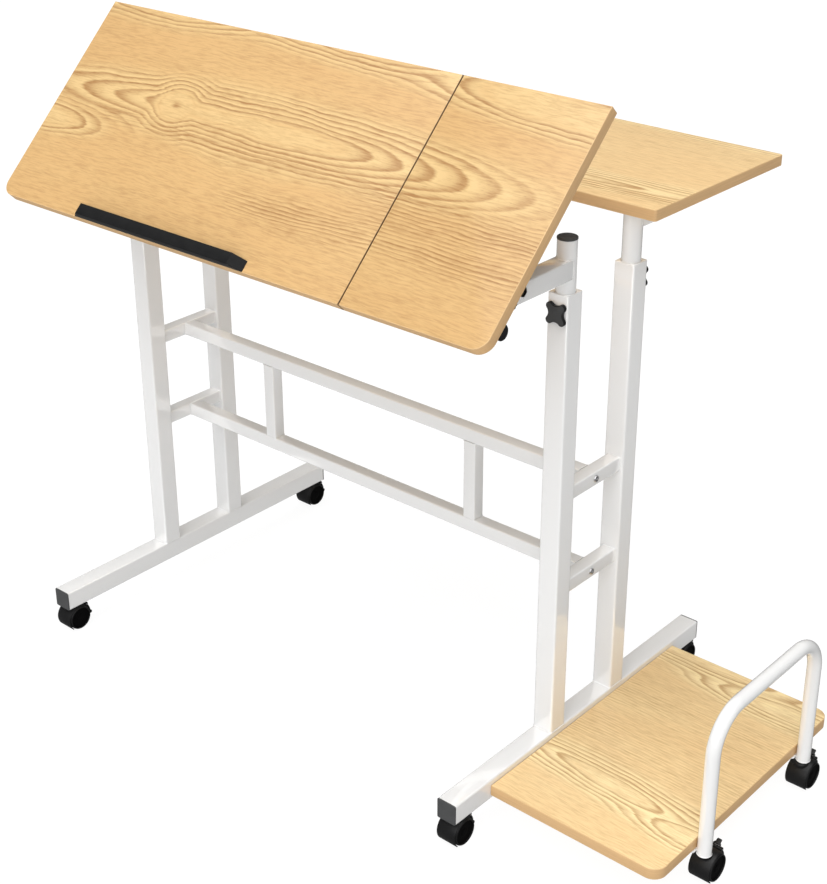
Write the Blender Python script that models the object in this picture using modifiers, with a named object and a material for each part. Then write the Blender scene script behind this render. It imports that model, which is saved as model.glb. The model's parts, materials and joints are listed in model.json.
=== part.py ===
"""Mobile laptop table: a rolling steel frame with a tilting front top, a rear top and a side shelf.

Metres, +Z up. The front of the table faces -Y and the side shelf stands at +X. Places are first
worked out from the middle between the foot bars (X), their front end (Y) and the floor (Z). One
empty then moves the whole table so that the origin lies under the middle of its outer box.
"""

import math

import bmesh
import bpy
from mathutils import Matrix, Vector

# Clearances
SEAT_GAP = 0.0003
RUNNING_CLEARANCE = 0.00005
SLIDING_CLEARANCE = 0.0003
CUT_OVERRUN = 0.002

# Square and round tubes of the frame
FRAME_TUBE = 0.030
FRAME_WALL = 0.0015
FRAME_CORNER = 0.0018
LIGHT_TUBE = 0.020
LIGHT_WALL = 0.0012
LIGHT_CORNER = 0.0016

# Foot bars
TRACK = 0.775
FOOT_LENGTH = 0.567
CAP_FLANGE = 0.002
CAP_PLUG = 0.0040
CAP_ROUND = 0.0006

# Uprights, measured from the front end of the foot bars and from their top
UPRIGHT_FRONT_Y = 0.2164
UPRIGHT_SPACING = 0.1377
UPRIGHT_HEIGHT = 0.6305
GUIDE_DEPTH = 0.040
CLAMP_DROP = 0.0240

# Rungs, rails and spacers; heights are those of their tops above the foot bars
UPPER_RUNG_HEIGHT = 0.3628
LOWER_RUNG_HEIGHT = 0.2243
RAIL_PLUG = 0.015
RAIL_BOLT = 0.006
RAIL_BOLT_HEAD = 0.009
RAIL_BOLT_HEAD_HEIGHT = 0.0022
VENT_HOLE = 0.004
SPACER_OFFSET = 0.195

# Lifting posts
POST_DIAMETER = 0.025
POST_WALL = 0.0015
POST_INSIDE = 0.320
FRONT_ARM_CLEAR = 0.0179
FRONT_ARM_SIZE = 0.025
FRONT_POST_HEAD = 0.0234
POST_CAP_HEIGHT = 0.003
POST_CAP_OVERHANG = 0.0004
POST_CAP_PLUG = 0.008
REAR_ARM_CLEAR = 0.0449
REAR_ARM_HEIGHT = 0.0185
REAR_ARM_LENGTH = 0.245

# Tops
TOP_WIDTH = 0.861
BOARD_THICKNESS = 0.015
BOARD_ROUND = 0.0008
FRONT_TOP_DEPTH = 0.3215
RIGHT_PANEL_WIDTH = 0.2161
SEAM_GAP = 0.001
FRONT_CORNER = 0.020
REAR_TOP_DEPTH = 0.3045
REAR_TOP_LEAD = 0.0173
REAR_CORNER = 0.004

# Stop ledge on the front top
LEDGE_LENGTH = 0.3225
LEDGE_TOP_LENGTH = 0.2915
LEDGE_HEIGHT = 0.015
LEDGE_DEPTH = 0.016
LEDGE_ROUND = 0.0006

# Tilt mechanism, measured from the pivot
TILT_AT_REST = math.radians(45.0)
TILT_WHEN_LOW = 0.0
PIVOT_REACH = 0.1069
PIVOT_RISE = 0.0048
PIVOT_TO_TOP = 0.03465
PIVOT_TO_FRONT_EDGE = 0.0976
PIVOT_PIN = 0.008
PIVOT_PIN_HEAD = 0.013
PIVOT_PIN_HEAD_HEIGHT = 0.003
ARM_NOSE = 0.040
BRACKET_PLATE = 0.003
BRACKET_LEAD = 0.016
BRACKET_TAIL = 0.034
EAR_THICKNESS = 0.0025
EAR_CLEARANCE = 0.0005
EAR_RADIUS = 0.011
LOCK_RADIUS = 0.0345
LOCK_RIM = 0.0095
LOCK_SCREW = 0.006
LOCK_HEAD = 0.012
LOCK_HEAD_HEIGHT = 0.0025
LOCK_HUB = 0.012
LOCK_HUB_LENGTH = 0.0060
LOCK_KNOB = 0.0196
LOCK_KNOB_LENGTH = 0.0113
LOCK_KNOB_ROUND = 0.0012
CROSS_TUBE = 0.020
CROSS_TUBE_WALL = 0.0015
CROSS_TUBE_LENGTH = 0.849
CROSS_TUBE_LEAD = 0.0606
CROSS_CAP_FLANGE = 0.0025
CROSS_CAP_PLUG = 0.008

# Four-lobed clamp knobs
STAR_REACH = 0.0176
STAR_WAIST = 0.0104
STAR_THICKNESS = 0.0049
STAR_ROUND = 0.0009
STAR_SCREW = 0.006

# Side shelf, measured from the right foot bar
SHELF_WIDTH = 0.257
SHELF_DEPTH = 0.426
SHELF_FRONT_Y = 0.0722
SHELF_THICKNESS = 0.016
SHELF_DROP = 0.0083
SHELF_CORNER = 0.019
LUG_REACH = 0.024
LUG_WIDTH = 0.026
LUG_THICKNESS = 0.003
LUG_INSET = 0.090

# Guard of round tube at the shelf's outer edge
GUARD_TUBE = 0.019
GUARD_WALL = 0.0012
GUARD_SPAN = 0.2405
GUARD_LEAD = 0.094
GUARD_HEIGHT = 0.2089
GUARD_BEND = 0.051
GUARD_PLUG = 0.022

# Casters
CASTER_HEIGHT = 0.041
CASTER_TRAIL = 0.007
CASTER_STEM = 0.008
CASTER_STEM_LENGTH = 0.016
CASTER_COLLAR = 0.012
FRONT_STEM_INSET = 0.0133
REAR_STEM_INSET = 0.0265
STEM_BOSS = 0.013
STEM_BOSS_HEIGHT = 0.012
WHEEL_DIAMETER = 0.038
WHEEL_PAIR_WIDTH = 0.032
WHEEL_WEB_GAP = 0.0008
WHEEL_ROUND = 0.0025
HUBCAP_DIAMETER = 0.0334
HUBCAP_RECESS = 0.0012
AXLE_DIAMETER = 0.005
WEB_THICKNESS = 0.006
WEB_CLEARANCE = 0.002
FENDER_CLEARANCE = 0.0007
FENDER_THICKNESS = 0.0016
FENDER_INSET = 0.001
FENDER_FRONT_ANGLE = math.radians(225.0)
FENDER_REAR_ANGLE = math.radians(60.0)
WEB_INSET_ANGLE = math.radians(3.0)
LEVER_CLEARANCE = 0.0025
LEVER_THICKNESS = 0.0020
LEVER_WIDTH = 0.020
LEVER_TOP_ANGLE = math.radians(53.0)
LEVER_NOSE_ANGLE = math.radians(-4.0)
LEVER_NOSE_RADIUS = 0.0028
LEVER_PIN = 0.003
LEVER_PIN_ANGLE = math.radians(42.0)
LEVER_EAR_RADIUS = 0.0033
LEVER_TAB_LENGTH = 0.0120
LEVER_TAB_WIDTH = 0.0064
LEVER_TAB_ROOT = 0.0108
LEVER_TAB_SHOULDER = 0.0056
LEVER_TAB_THICKNESS = 0.0022
LEVER_TAB_LEAN = math.radians(20.0)
LEVER_SLOT_CLEARANCE = 0.0004

# Shares of a turn and numbers of flats
ROUND_STEPS = 24
SMALL_STEPS = 12
STAR_STEPS = 40
CORNER_STEPS = 3
WIDE_CORNER_STEPS = 6
BEND_STEPS = 6

# Places worked out from the sizes
FOOT_TOP = CASTER_HEIGHT + FRAME_TUBE
SIDE_X = TRACK / 2
UPRIGHT_TOP = FOOT_TOP + UPRIGHT_HEIGHT
REAR_UPRIGHT_Y = UPRIGHT_FRONT_Y + UPRIGHT_SPACING
RAIL_Y = UPRIGHT_FRONT_Y + UPRIGHT_SPACING / 2
FRONT_ARM_Z = UPRIGHT_TOP + FRONT_ARM_CLEAR + FRONT_ARM_SIZE / 2
PIVOT_Y = UPRIGHT_FRONT_Y - PIVOT_REACH
PIVOT_Z = FRONT_ARM_Z + PIVOT_RISE
REAR_ARM_Z = UPRIGHT_TOP + REAR_ARM_CLEAR + REAR_ARM_HEIGHT / 2
REAR_TOP_Z = REAR_ARM_Z + REAR_ARM_HEIGHT / 2 + SEAT_GAP + BOARD_THICKNESS / 2
REAR_TOP_FRONT_Y = REAR_UPRIGHT_Y - REAR_TOP_LEAD
SHELF_LEFT_X = SIDE_X + FRAME_TUBE / 2 + SEAT_GAP
SHELF_RIGHT_X = SHELF_LEFT_X + SHELF_WIDTH
SHELF_TOP_Z = FOOT_TOP - SHELF_DROP
LUG_TOP_Z = SHELF_TOP_Z - SHELF_THICKNESS - SEAT_GAP
GUARD_X = SHELF_RIGHT_X + SEAT_GAP + GUARD_TUBE / 2
GUARD_FRONT_Y = SHELF_FRONT_Y + GUARD_LEAD
LEDGE_BASE = PIVOT_TO_TOP + BOARD_THICKNESS + SEAT_GAP
WHEEL_RADIUS = WHEEL_DIAMETER / 2
AXLE_DROP = CASTER_HEIGHT - WHEEL_RADIUS
FENDER_INNER = WHEEL_RADIUS + FENDER_CLEARANCE
FENDER_OUTER = FENDER_INNER + FENDER_THICKNESS
LEVER_INNER = WHEEL_RADIUS + LEVER_CLEARANCE
LEVER_OUTER = LEVER_INNER + LEVER_THICKNESS
LEVER_PIN_RADIUS = (LEVER_INNER + LEVER_OUTER) / 2
LEVER_PIN_Y = LEVER_PIN_RADIUS * math.cos(LEVER_PIN_ANGLE)
LEVER_PIN_Z = LEVER_PIN_RADIUS * math.sin(LEVER_PIN_ANGLE)

# The outer box in X and Y, whose middle the origin lies under
BOX_RIGHT = GUARD_X + WHEEL_PAIR_WIDTH / 2
BOX_LEFT = -TOP_WIDTH / 2
BOX_FRONT = (PIVOT_Y - PIVOT_TO_FRONT_EDGE * math.cos(TILT_AT_REST)
             - (LEDGE_BASE + LEDGE_HEIGHT) * math.sin(TILT_AT_REST))
BOX_REAR = REAR_TOP_FRONT_Y + REAR_TOP_DEPTH
ORIGIN_X = (BOX_LEFT + BOX_RIGHT) / 2
ORIGIN_Y = (BOX_FRONT + BOX_REAR) / 2

# Turns that lay a flat outline, drawn in X and Y, on its side
ON_ITS_SIDE = Matrix(((0, 0, 1), (1, 0, 0), (0, 1, 0))).to_4x4()
FACING_FRONT = Matrix.Rotation(math.pi / 2, 4, "X")
ALONG_X = Matrix.Rotation(math.pi / 2, 4, "Y")
ALONG_Y = Matrix.Rotation(-math.pi / 2, 4, "X")
SIDES = (("left", -1), ("right", 1))


def clear_scene():
    """Remove every object that the file holds."""
    for item in list(bpy.data.objects):
        bpy.data.objects.remove(item)


def new_collection(name):
    """Make a collection and link it to the scene."""
    collection = bpy.data.collections.new(name)
    bpy.context.scene.collection.children.link(collection)
    return collection


def make_material(name, colour, roughness, metallic):
    """A Principled BSDF with one colour."""
    material = bpy.data.materials.new(name)
    material.use_nodes = True
    shader = material.node_tree.nodes["Principled BSDF"]
    shader.inputs["Base Color"].default_value = (*colour, 1)
    shader.inputs["Roughness"].default_value = roughness
    shader.inputs["Metallic"].default_value = metallic
    return material


def bench(mesh_or_curve):
    """Lay a mesh or a curve on the bench, as an object that can be cut and joined."""
    body = bpy.data.objects.new("bench_piece", mesh_or_curve)
    BENCH.objects.link(body)
    return body


def settle(body):
    """Turn a piece with its modifiers into a plain mesh object."""
    graph = bpy.context.evaluated_depsgraph_get()
    mesh = bpy.data.meshes.new_from_object(body.evaluated_get(graph))
    settled = bench(mesh)
    settled.matrix_world = body.matrix_world
    bpy.data.objects.remove(body)
    return settled


def weld(body):
    """Merge doubled points and turn all faces outwards."""
    work = bmesh.new()
    work.from_mesh(body.data)
    bmesh.ops.remove_doubles(work, verts=work.verts, dist=SEAT_GAP / 100)
    bmesh.ops.recalc_face_normals(work, faces=work.faces)
    work.to_mesh(body.data)
    work.free()
    return body


def moved(body, x=0, y=0, z=0):
    """Shift a bench piece's mesh."""
    body.data.transform(Matrix.Translation((x, y, z)))
    return body


def turned_by(body, matrix):
    """Turn a bench piece's mesh."""
    body.data.transform(matrix)
    return body


def combine(body, tools, operation):
    """Join tools to a body, or cut them from it, and use them up."""
    for tool in tools:
        step = body.modifiers.new(operation.lower(), "BOOLEAN")
        step.operation = operation
        step.solver = "EXACT"
        step.object = tool
    result = settle(body)
    for tool in tools:
        bpy.data.objects.remove(tool)
    return result


def cut(body, *tools):
    """Cut tools out of a body."""
    return combine(body, tools, "DIFFERENCE")


def join(body, *tools):
    """Join tools to a body as one solid."""
    return combine(body, tools, "UNION")


def rounded(body, width, segments=2, angle=math.radians(40.0)):
    """Round the edges that are sharper than an angle."""
    bevel = body.modifiers.new("round", "BEVEL")
    bevel.width = width
    bevel.segments = segments
    bevel.limit_method = "ANGLE"
    bevel.angle_limit = angle
    return settle(body)


def box(x, y, z):
    """A box centred on the origin."""
    mesh = bpy.data.meshes.new("box")
    work = bmesh.new()
    bmesh.ops.create_cube(work, size=1)
    bmesh.ops.scale(work, vec=(x, y, z), verts=work.verts)
    work.to_mesh(mesh)
    work.free()
    return bench(mesh)


def cylinder(diameter, length, steps=SMALL_STEPS, half_step=False):
    """A cylinder along Z, centred on the origin; half a step of turn puts flats at its sides."""
    mesh = bpy.data.meshes.new("cylinder")
    work = bmesh.new()
    turn = Matrix.Rotation(math.pi / steps if half_step else 0, 4, "Z")
    bmesh.ops.create_cone(work, cap_ends=True, segments=steps, radius1=diameter / 2,
                          radius2=diameter / 2, depth=length, matrix=turn)
    work.to_mesh(mesh)
    work.free()
    return bench(mesh)


def arc(centre, radius, start, stop, steps):
    """Points along an arc, its two ends included."""
    points = []
    for step in range(steps + 1):
        angle = start + (stop - start) * step / steps
        points.append((centre[0] + radius * math.cos(angle), centre[1] + radius * math.sin(angle)))
    return points


def rounded_rectangle(width, height, corner, steps=CORNER_STEPS):
    """The outline of a rectangle with four round corners."""
    x = width / 2 - corner
    y = height / 2 - corner
    points = []
    for turn, (sx, sy) in enumerate(((1, 1), (-1, 1), (-1, -1), (1, -1))):
        start = turn * math.pi / 2
        points += arc((sx * x, sy * y), corner, start, start + math.pi / 2, steps)
    return points


def plate(thickness, *outlines):
    """A flat piece in X and Y, centred on Z; outlines after the first are holes in it."""
    curve = bpy.data.curves.new("outline", "CURVE")
    curve.dimensions = "2D"
    curve.fill_mode = "BOTH"
    curve.extrude = thickness / 2
    curve.resolution_u = 1
    for outline in outlines:
        spline = curve.splines.new("POLY")
        spline.points.add(len(outline) - 1)
        for point, (x, y) in zip(spline.points, outline):
            point.co = (x, y, 0, 1)
        spline.use_cyclic_u = True
    return weld(settle(bench(curve)))


def square_tube(width, height, wall, corner, length):
    """A tube of rectangular section along Z, centred on the origin and open at both ends."""
    outside = rounded_rectangle(width, height, corner)
    inner_corner = max(corner - wall, corner / 4)
    inside = rounded_rectangle(width - wall * 2, height - wall * 2, inner_corner, 1)
    return plate(length, outside, inside)


def turned(profile, steps=ROUND_STEPS):
    """A solid turned about Z from a profile of (radius, height) points, top to bottom."""
    mesh = bpy.data.meshes.new("profile")
    points = [(radius, 0, height) for radius, height in profile]
    mesh.from_pydata(points, [(i, i + 1) for i in range(len(points) - 1)], [])
    body = bench(mesh)
    screw = body.modifiers.new("turn", "SCREW")
    screw.axis = "Z"
    screw.angle = math.tau
    screw.steps = steps
    screw.render_steps = steps
    screw.use_merge_vertices = True
    screw.merge_threshold = SEAT_GAP / 10
    return weld(settle(body))


def place(name, body, material, parent, location=(0, 0, 0), rotation=(0, 0, 0)):
    """Take a piece off the bench into the table, under its name."""
    mesh = body.data
    bpy.data.objects.remove(body)
    return place_mesh(name, mesh, material, parent, location, rotation)


def place_mesh(name, mesh, material, parent, location=(0, 0, 0), rotation=(0, 0, 0)):
    """Put one copy of a finished mesh into the table."""
    if not mesh.materials:
        mesh.materials.append(material)
        mesh.shade_smooth()
        mesh.set_sharp_from_angle(angle=math.radians(35.0))
    piece = bpy.data.objects.new(name, mesh)
    piece.parent = parent
    piece.location = location
    piece.rotation_euler = rotation
    TABLE.objects.link(piece)
    return piece


def take(body):
    """Take a finished mesh off the bench."""
    mesh = body.data
    bpy.data.objects.remove(body)
    return mesh


def empty(name, parent, location=(0, 0, 0), rotation=(0, 0, 0)):
    """An empty that carries pieces, with its origin on their joint's axis."""
    carrier = bpy.data.objects.new(name, None)
    carrier.parent = parent
    carrier.location = location
    carrier.rotation_euler = rotation
    carrier.empty_display_size = FRAME_TUBE
    TABLE.objects.link(carrier)
    return carrier


def shelf_lug(direction):
    """A flat lug that a shelf edge rests on; it starts inside the tube that carries it."""
    lug = box(LUG_REACH + FRAME_WALL / 2, LUG_WIDTH, LUG_THICKNESS)
    return moved(lug, x=direction * (LUG_REACH - FRAME_WALL / 2) / 2)


def foot_bar(side):
    """A foot bar of square tube with two stem sockets; the right one also carries shelf lugs."""
    length = FOOT_LENGTH - CAP_FLANGE * 2
    bar = square_tube(FRAME_TUBE, FRAME_TUBE, FRAME_WALL, FRAME_CORNER, length)
    bar = moved(turned_by(bar, ALONG_Y), y=FOOT_LENGTH / 2, z=CASTER_HEIGHT + FRAME_TUBE / 2)
    stems = (FRONT_STEM_INSET, FOOT_LENGTH - REAR_STEM_INSET)
    floor = CASTER_HEIGHT + FRAME_WALL
    bosses = []
    for y in stems:
        boss = cylinder(STEM_BOSS, STEM_BOSS_HEIGHT + FRAME_WALL / 2, SMALL_STEPS)
        bosses.append(moved(boss, y=y, z=floor + STEM_BOSS_HEIGHT / 2 - FRAME_WALL / 4))
    if side > 0:
        for y in (SHELF_FRONT_Y + LUG_INSET, SHELF_FRONT_Y + SHELF_DEPTH - LUG_INSET):
            lug = shelf_lug(1)
            bosses.append(moved(lug, x=FRAME_TUBE / 2, y=y, z=LUG_TOP_Z - LUG_THICKNESS / 2))
    bar = join(bar, *bosses)
    bores = []
    for y in stems:
        bore = cylinder(CASTER_STEM + RUNNING_CLEARANCE * 2, FRAME_TUBE, ROUND_STEPS)
        bores.append(moved(bore, y=y, z=CASTER_HEIGHT + FRAME_TUBE / 4))
    return cut(bar, *bores)


def foot_cap():
    """A square end cap; its outer face looks towards -Y and lies in the XZ plane."""
    flange = moved(box(FRAME_TUBE, CAP_FLANGE - SEAT_GAP, FRAME_TUBE), y=(CAP_FLANGE - SEAT_GAP) / 2)
    flange = rounded(flange, CAP_ROUND, 1)
    plug_width = FRAME_TUBE - (FRAME_WALL + SLIDING_CLEARANCE) * 2
    depth = CAP_FLANGE + CAP_PLUG
    plug = box(plug_width, depth - CAP_ROUND, plug_width)
    return join(flange, moved(plug, y=(depth + CAP_ROUND) / 2))


def make_feet(root):
    """Both foot bars with their end caps."""
    cap = take(foot_cap())
    for label, side in SIDES:
        place(f"foot_bar_{label}", foot_bar(side), WHITE_COAT, root, (side * SIDE_X, 0, 0))
        height = CASTER_HEIGHT + FRAME_TUBE / 2
        place_mesh(f"foot_cap_front_{label}", cap, GREY_CAP, root, (side * SIDE_X, 0, height))
        place_mesh(f"foot_cap_rear_{label}", cap, GREY_CAP, root,
                   (side * SIDE_X, FOOT_LENGTH, height), (0, 0, math.pi))


def upright():
    """A square upright with a guide block in its top and a clamp hole in its front wall."""
    length = UPRIGHT_HEIGHT - SEAT_GAP
    body = moved(square_tube(FRAME_TUBE, FRAME_TUBE, FRAME_WALL, FRAME_CORNER, length),
                 z=length / 2 + SEAT_GAP)
    guide_width = FRAME_TUBE - FRAME_WALL
    guide = moved(box(guide_width, guide_width, GUIDE_DEPTH), z=UPRIGHT_HEIGHT - GUIDE_DEPTH / 2)
    body = join(body, guide)
    bore = cylinder(POST_DIAMETER + SLIDING_CLEARANCE * 2, GUIDE_DEPTH + CUT_OVERRUN * 2, ROUND_STEPS)
    bore = moved(bore, z=UPRIGHT_HEIGHT - GUIDE_DEPTH / 2)
    screw_hole = cylinder(STAR_SCREW + RUNNING_CLEARANCE * 2, FRAME_TUBE / 2, ROUND_STEPS)
    screw_hole = turned_by(screw_hole, ALONG_Y)
    screw_hole = moved(screw_hole, y=-FRAME_TUBE / 2, z=UPRIGHT_HEIGHT - CLAMP_DROP)
    return cut(body, bore, screw_hole)


def make_uprights(root):
    """Four uprights; the rear ones are turned about so that their clamp holes face the back."""
    mesh = take(upright())
    for label, side in SIDES:
        place_mesh(f"upright_front_{label}", mesh, WHITE_COAT, root,
                   (side * SIDE_X, UPRIGHT_FRONT_Y, FOOT_TOP))
        place_mesh(f"upright_rear_{label}", mesh, WHITE_COAT, root,
                   (side * SIDE_X, REAR_UPRIGHT_Y, FOOT_TOP), (0, 0, math.pi))


def rung():
    """A short rung between two uprights, with a bolt hole across its middle."""
    length = UPRIGHT_SPACING - FRAME_TUBE - SEAT_GAP * 2
    body = square_tube(LIGHT_TUBE, LIGHT_TUBE, LIGHT_WALL, LIGHT_CORNER, length)
    hole = cylinder(RAIL_BOLT + SLIDING_CLEARANCE * 2, LIGHT_TUBE + CUT_OVERRUN * 2)
    return cut(turned_by(body, ALONG_Y), turned_by(hole, ALONG_X))


def rail():
    """A long rail with a plug and a bolt at each end; the bolts pass through the rungs."""
    length = TRACK - LIGHT_TUBE - SEAT_GAP * 2
    body = turned_by(square_tube(LIGHT_TUBE, LIGHT_TUBE, LIGHT_WALL, LIGHT_CORNER, length), ALONG_X)
    extras = []
    reach = TRACK / 2 + LIGHT_TUBE / 2 + SEAT_GAP
    for side in (-1, 1):
        plug = box(RAIL_PLUG, LIGHT_TUBE - LIGHT_WALL, LIGHT_TUBE - LIGHT_WALL)
        extras.append(moved(plug, x=side * (length / 2 - RAIL_PLUG / 2 - LIGHT_WALL)))
        start = length / 2 - RAIL_PLUG / 2
        bolt = turned_by(cylinder(RAIL_BOLT, reach + RAIL_BOLT_HEAD_HEIGHT / 2 - start), ALONG_X)
        extras.append(moved(bolt, x=side * (start + reach + RAIL_BOLT_HEAD_HEIGHT / 2) / 2))
        head = turned_by(bolt_head(), ALONG_X if side > 0 else ALONG_X.inverted())
        extras.append(moved(head, x=side * reach))
    body = join(body, *extras)
    vent = moved(cylinder(VENT_HOLE, LIGHT_TUBE / 2), x=length / 2 - RAIL_PLUG * 2, z=-LIGHT_TUBE / 2)
    return cut(body, vent)


def bolt_head():
    """A low domed bolt head standing on the XY plane."""
    radius = RAIL_BOLT_HEAD / 2
    height = RAIL_BOLT_HEAD_HEIGHT
    profile = [(0, height), (radius / 2, height), (radius * 0.85, height * 0.75),
               (radius, height / 3), (radius, 0), (0, 0)]
    return turned(profile, SMALL_STEPS)


def make_ladder(root):
    """The rungs, the long rails and the spacers between them."""
    rung_mesh = take(rung())
    rail_mesh = take(rail())
    heights = (("upper", UPPER_RUNG_HEIGHT), ("lower", LOWER_RUNG_HEIGHT))
    for level, height in heights:
        z = FOOT_TOP + height - LIGHT_TUBE / 2
        for label, side in SIDES:
            place_mesh(f"rung_{level}_{label}", rung_mesh, WHITE_COAT, root, (side * SIDE_X, RAIL_Y, z))
        place_mesh(f"rail_{level}", rail_mesh, WHITE_COAT, root, (0, RAIL_Y, z))
    length = UPPER_RUNG_HEIGHT - LOWER_RUNG_HEIGHT - LIGHT_TUBE - SEAT_GAP * 2
    spacer = take(square_tube(LIGHT_TUBE, LIGHT_TUBE, LIGHT_WALL, LIGHT_CORNER, length))
    middle = FOOT_TOP + (UPPER_RUNG_HEIGHT + LOWER_RUNG_HEIGHT - LIGHT_TUBE) / 2
    for label, side in SIDES:
        place_mesh(f"spacer_{label}", spacer, WHITE_COAT, root, (side * SPACER_OFFSET, RAIL_Y, middle))


def post_tube(low, high):
    """A round post between two heights, as a full bar; flats at its sides meet the arm's walls."""
    return moved(cylinder(POST_DIAMETER, high - low, ROUND_STEPS, True), z=(low + high) / 2)


def post_bore(low, high):
    """The hollow of a round post between two heights."""
    return moved(cylinder(POST_DIAMETER - POST_WALL * 2, high - low, ROUND_STEPS, True),
                 z=(low + high) / 2)


def front_post():
    """A front post with its forward arm; heights are measured from the middle of the arm."""
    low = -(FRONT_ARM_SIZE / 2 + FRONT_ARM_CLEAR + POST_INSIDE)
    high = FRONT_ARM_SIZE / 2 + FRONT_POST_HEAD
    reach = PIVOT_REACH + ARM_NOSE
    arm = moved(box(FRONT_ARM_SIZE, reach, FRONT_ARM_SIZE), y=-reach / 2)
    arm = rounded(arm, LIGHT_CORNER)
    body = join(post_tube(low, high), arm)
    hollow = reach - POST_DIAMETER / 2 - POST_WALL - FRAME_WALL
    inner = FRONT_ARM_SIZE - POST_WALL * 2
    chamber = moved(box(inner, hollow, inner), y=-reach + FRAME_WALL + hollow / 2)
    across = FRONT_ARM_SIZE + CUT_OVERRUN * 2
    pin_hole = turned_by(cylinder(PIVOT_PIN + RUNNING_CLEARANCE * 2, across, ROUND_STEPS), ALONG_X)
    pin_hole = moved(pin_hole, y=-PIVOT_REACH, z=PIVOT_RISE)
    lock_hole = turned_by(cylinder(LOCK_SCREW + RUNNING_CLEARANCE * 2, across, ROUND_STEPS), ALONG_X)
    lock_hole = moved(lock_hole, y=-PIVOT_REACH - LOCK_RADIUS, z=PIVOT_RISE)
    bore = post_bore(low - CUT_OVERRUN, high + CUT_OVERRUN)
    return cut(body, bore, chamber, pin_hole, lock_hole)


def post_cap():
    """A round cap with a plug; it stands on the post's open end, which lies in the XY plane."""
    radius = POST_DIAMETER / 2 + POST_CAP_OVERHANG
    plug = POST_DIAMETER / 2 - POST_WALL - SLIDING_CLEARANCE
    edge = POST_CAP_HEIGHT / 4
    profile = [(0, POST_CAP_HEIGHT), (radius - edge, POST_CAP_HEIGHT), (radius, POST_CAP_HEIGHT - edge),
               (radius, SEAT_GAP), (plug, SEAT_GAP), (plug, -POST_CAP_PLUG + edge),
               (plug - edge, -POST_CAP_PLUG), (0, -POST_CAP_PLUG)]
    return turned(profile)


def rear_post():
    """A rear post with its rearward arm on top; heights are measured from the middle of the arm."""
    low = -(REAR_ARM_HEIGHT / 2 + REAR_ARM_CLEAR + POST_INSIDE)
    arm = moved(box(POST_DIAMETER, REAR_ARM_LENGTH, REAR_ARM_HEIGHT),
                y=REAR_ARM_LENGTH / 2 - POST_DIAMETER / 2)
    arm = rounded(arm, LIGHT_CORNER)
    body = join(arm, post_tube(low, 0))
    inner_width = POST_DIAMETER - POST_WALL * 4
    inner_height = REAR_ARM_HEIGHT - POST_WALL * 2
    chamber = moved(box(inner_width, REAR_ARM_LENGTH - POST_WALL * 4, inner_height),
                    y=REAR_ARM_LENGTH / 2 - POST_DIAMETER / 2)
    return cut(body, chamber, post_bore(low - CUT_OVERRUN, 0))


def make_front_lift(root):
    """The two front posts, which slide together, with their caps."""
    lift = empty("front_lift", root, (0, UPRIGHT_FRONT_Y, FRONT_ARM_Z))
    post = take(front_post())
    cap = take(post_cap())
    cap_height = FRONT_ARM_SIZE / 2 + FRONT_POST_HEAD
    for label, side in SIDES:
        place_mesh(f"front_post_{label}", post, WHITE_COAT, lift, (side * SIDE_X, 0, 0))
        place_mesh(f"front_post_cap_{label}", cap, GREY_CAP, lift, (side * SIDE_X, 0, cap_height))
    return lift


def make_rear_lift(root):
    """The two rear posts, which slide together, and the rear top on their arms."""
    lift = empty("rear_lift", root, (0, REAR_UPRIGHT_Y, REAR_ARM_Z))
    post = take(rear_post())
    for label, side in SIDES:
        place_mesh(f"rear_post_{label}", post, WHITE_COAT, lift, (side * SIDE_X, 0, 0))
    outline = rounded_rectangle(TOP_WIDTH, REAR_TOP_DEPTH, REAR_CORNER)
    top = rounded(plate(BOARD_THICKNESS, outline), BOARD_ROUND, 1)
    place("rear_top", top, OAK, lift, (0, REAR_TOP_DEPTH / 2 - REAR_TOP_LEAD, REAR_TOP_Z - REAR_ARM_Z))


def front_panel(left, right, side):
    """A panel of the front top from one X to another, with a round front corner at its outer side."""
    front = -PIVOT_TO_FRONT_EDGE
    rear = front + FRONT_TOP_DEPTH
    if side < 0:
        corner = arc((left + FRONT_CORNER, front + FRONT_CORNER), FRONT_CORNER,
                     math.pi, math.pi * 3 / 2, WIDE_CORNER_STEPS)
        outline = corner + [(right, front), (right, rear), (left, rear)]
    else:
        corner = arc((right - FRONT_CORNER, front + FRONT_CORNER), FRONT_CORNER,
                     math.pi * 3 / 2, math.tau, WIDE_CORNER_STEPS)
        outline = [(left, front)] + corner + [(right, rear), (left, rear)]
    return rounded(plate(BOARD_THICKNESS, outline), BOARD_ROUND, 1)


def ledge():
    """The stop ledge: a bar with a ramp at each end, standing on the XY plane, front face at y = 0."""
    foot = LEDGE_LENGTH / 2
    head = LEDGE_TOP_LENGTH / 2
    outline = [(-foot, 0), (foot, 0), (head, LEDGE_HEIGHT), (-head, LEDGE_HEIGHT)]
    bar = moved(turned_by(plate(LEDGE_DEPTH, outline), FACING_FRONT), y=LEDGE_DEPTH / 2)
    return rounded(bar, LEDGE_ROUND, 2, math.radians(30.0))


def outer_ear():
    """The bracket's outer ear: round about the pivot, and wide where it meets the plate."""
    head = PIVOT_TO_TOP - SEAT_GAP - BRACKET_PLATE / 2
    outline = arc((0, 0), EAR_RADIUS, math.pi, math.tau, WIDE_CORNER_STEPS)
    outline += [(BRACKET_TAIL - EAR_THICKNESS, head), (EAR_THICKNESS - BRACKET_LEAD, head)]
    return turned_by(plate(EAR_THICKNESS, outline), ON_ITS_SIDE)


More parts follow.
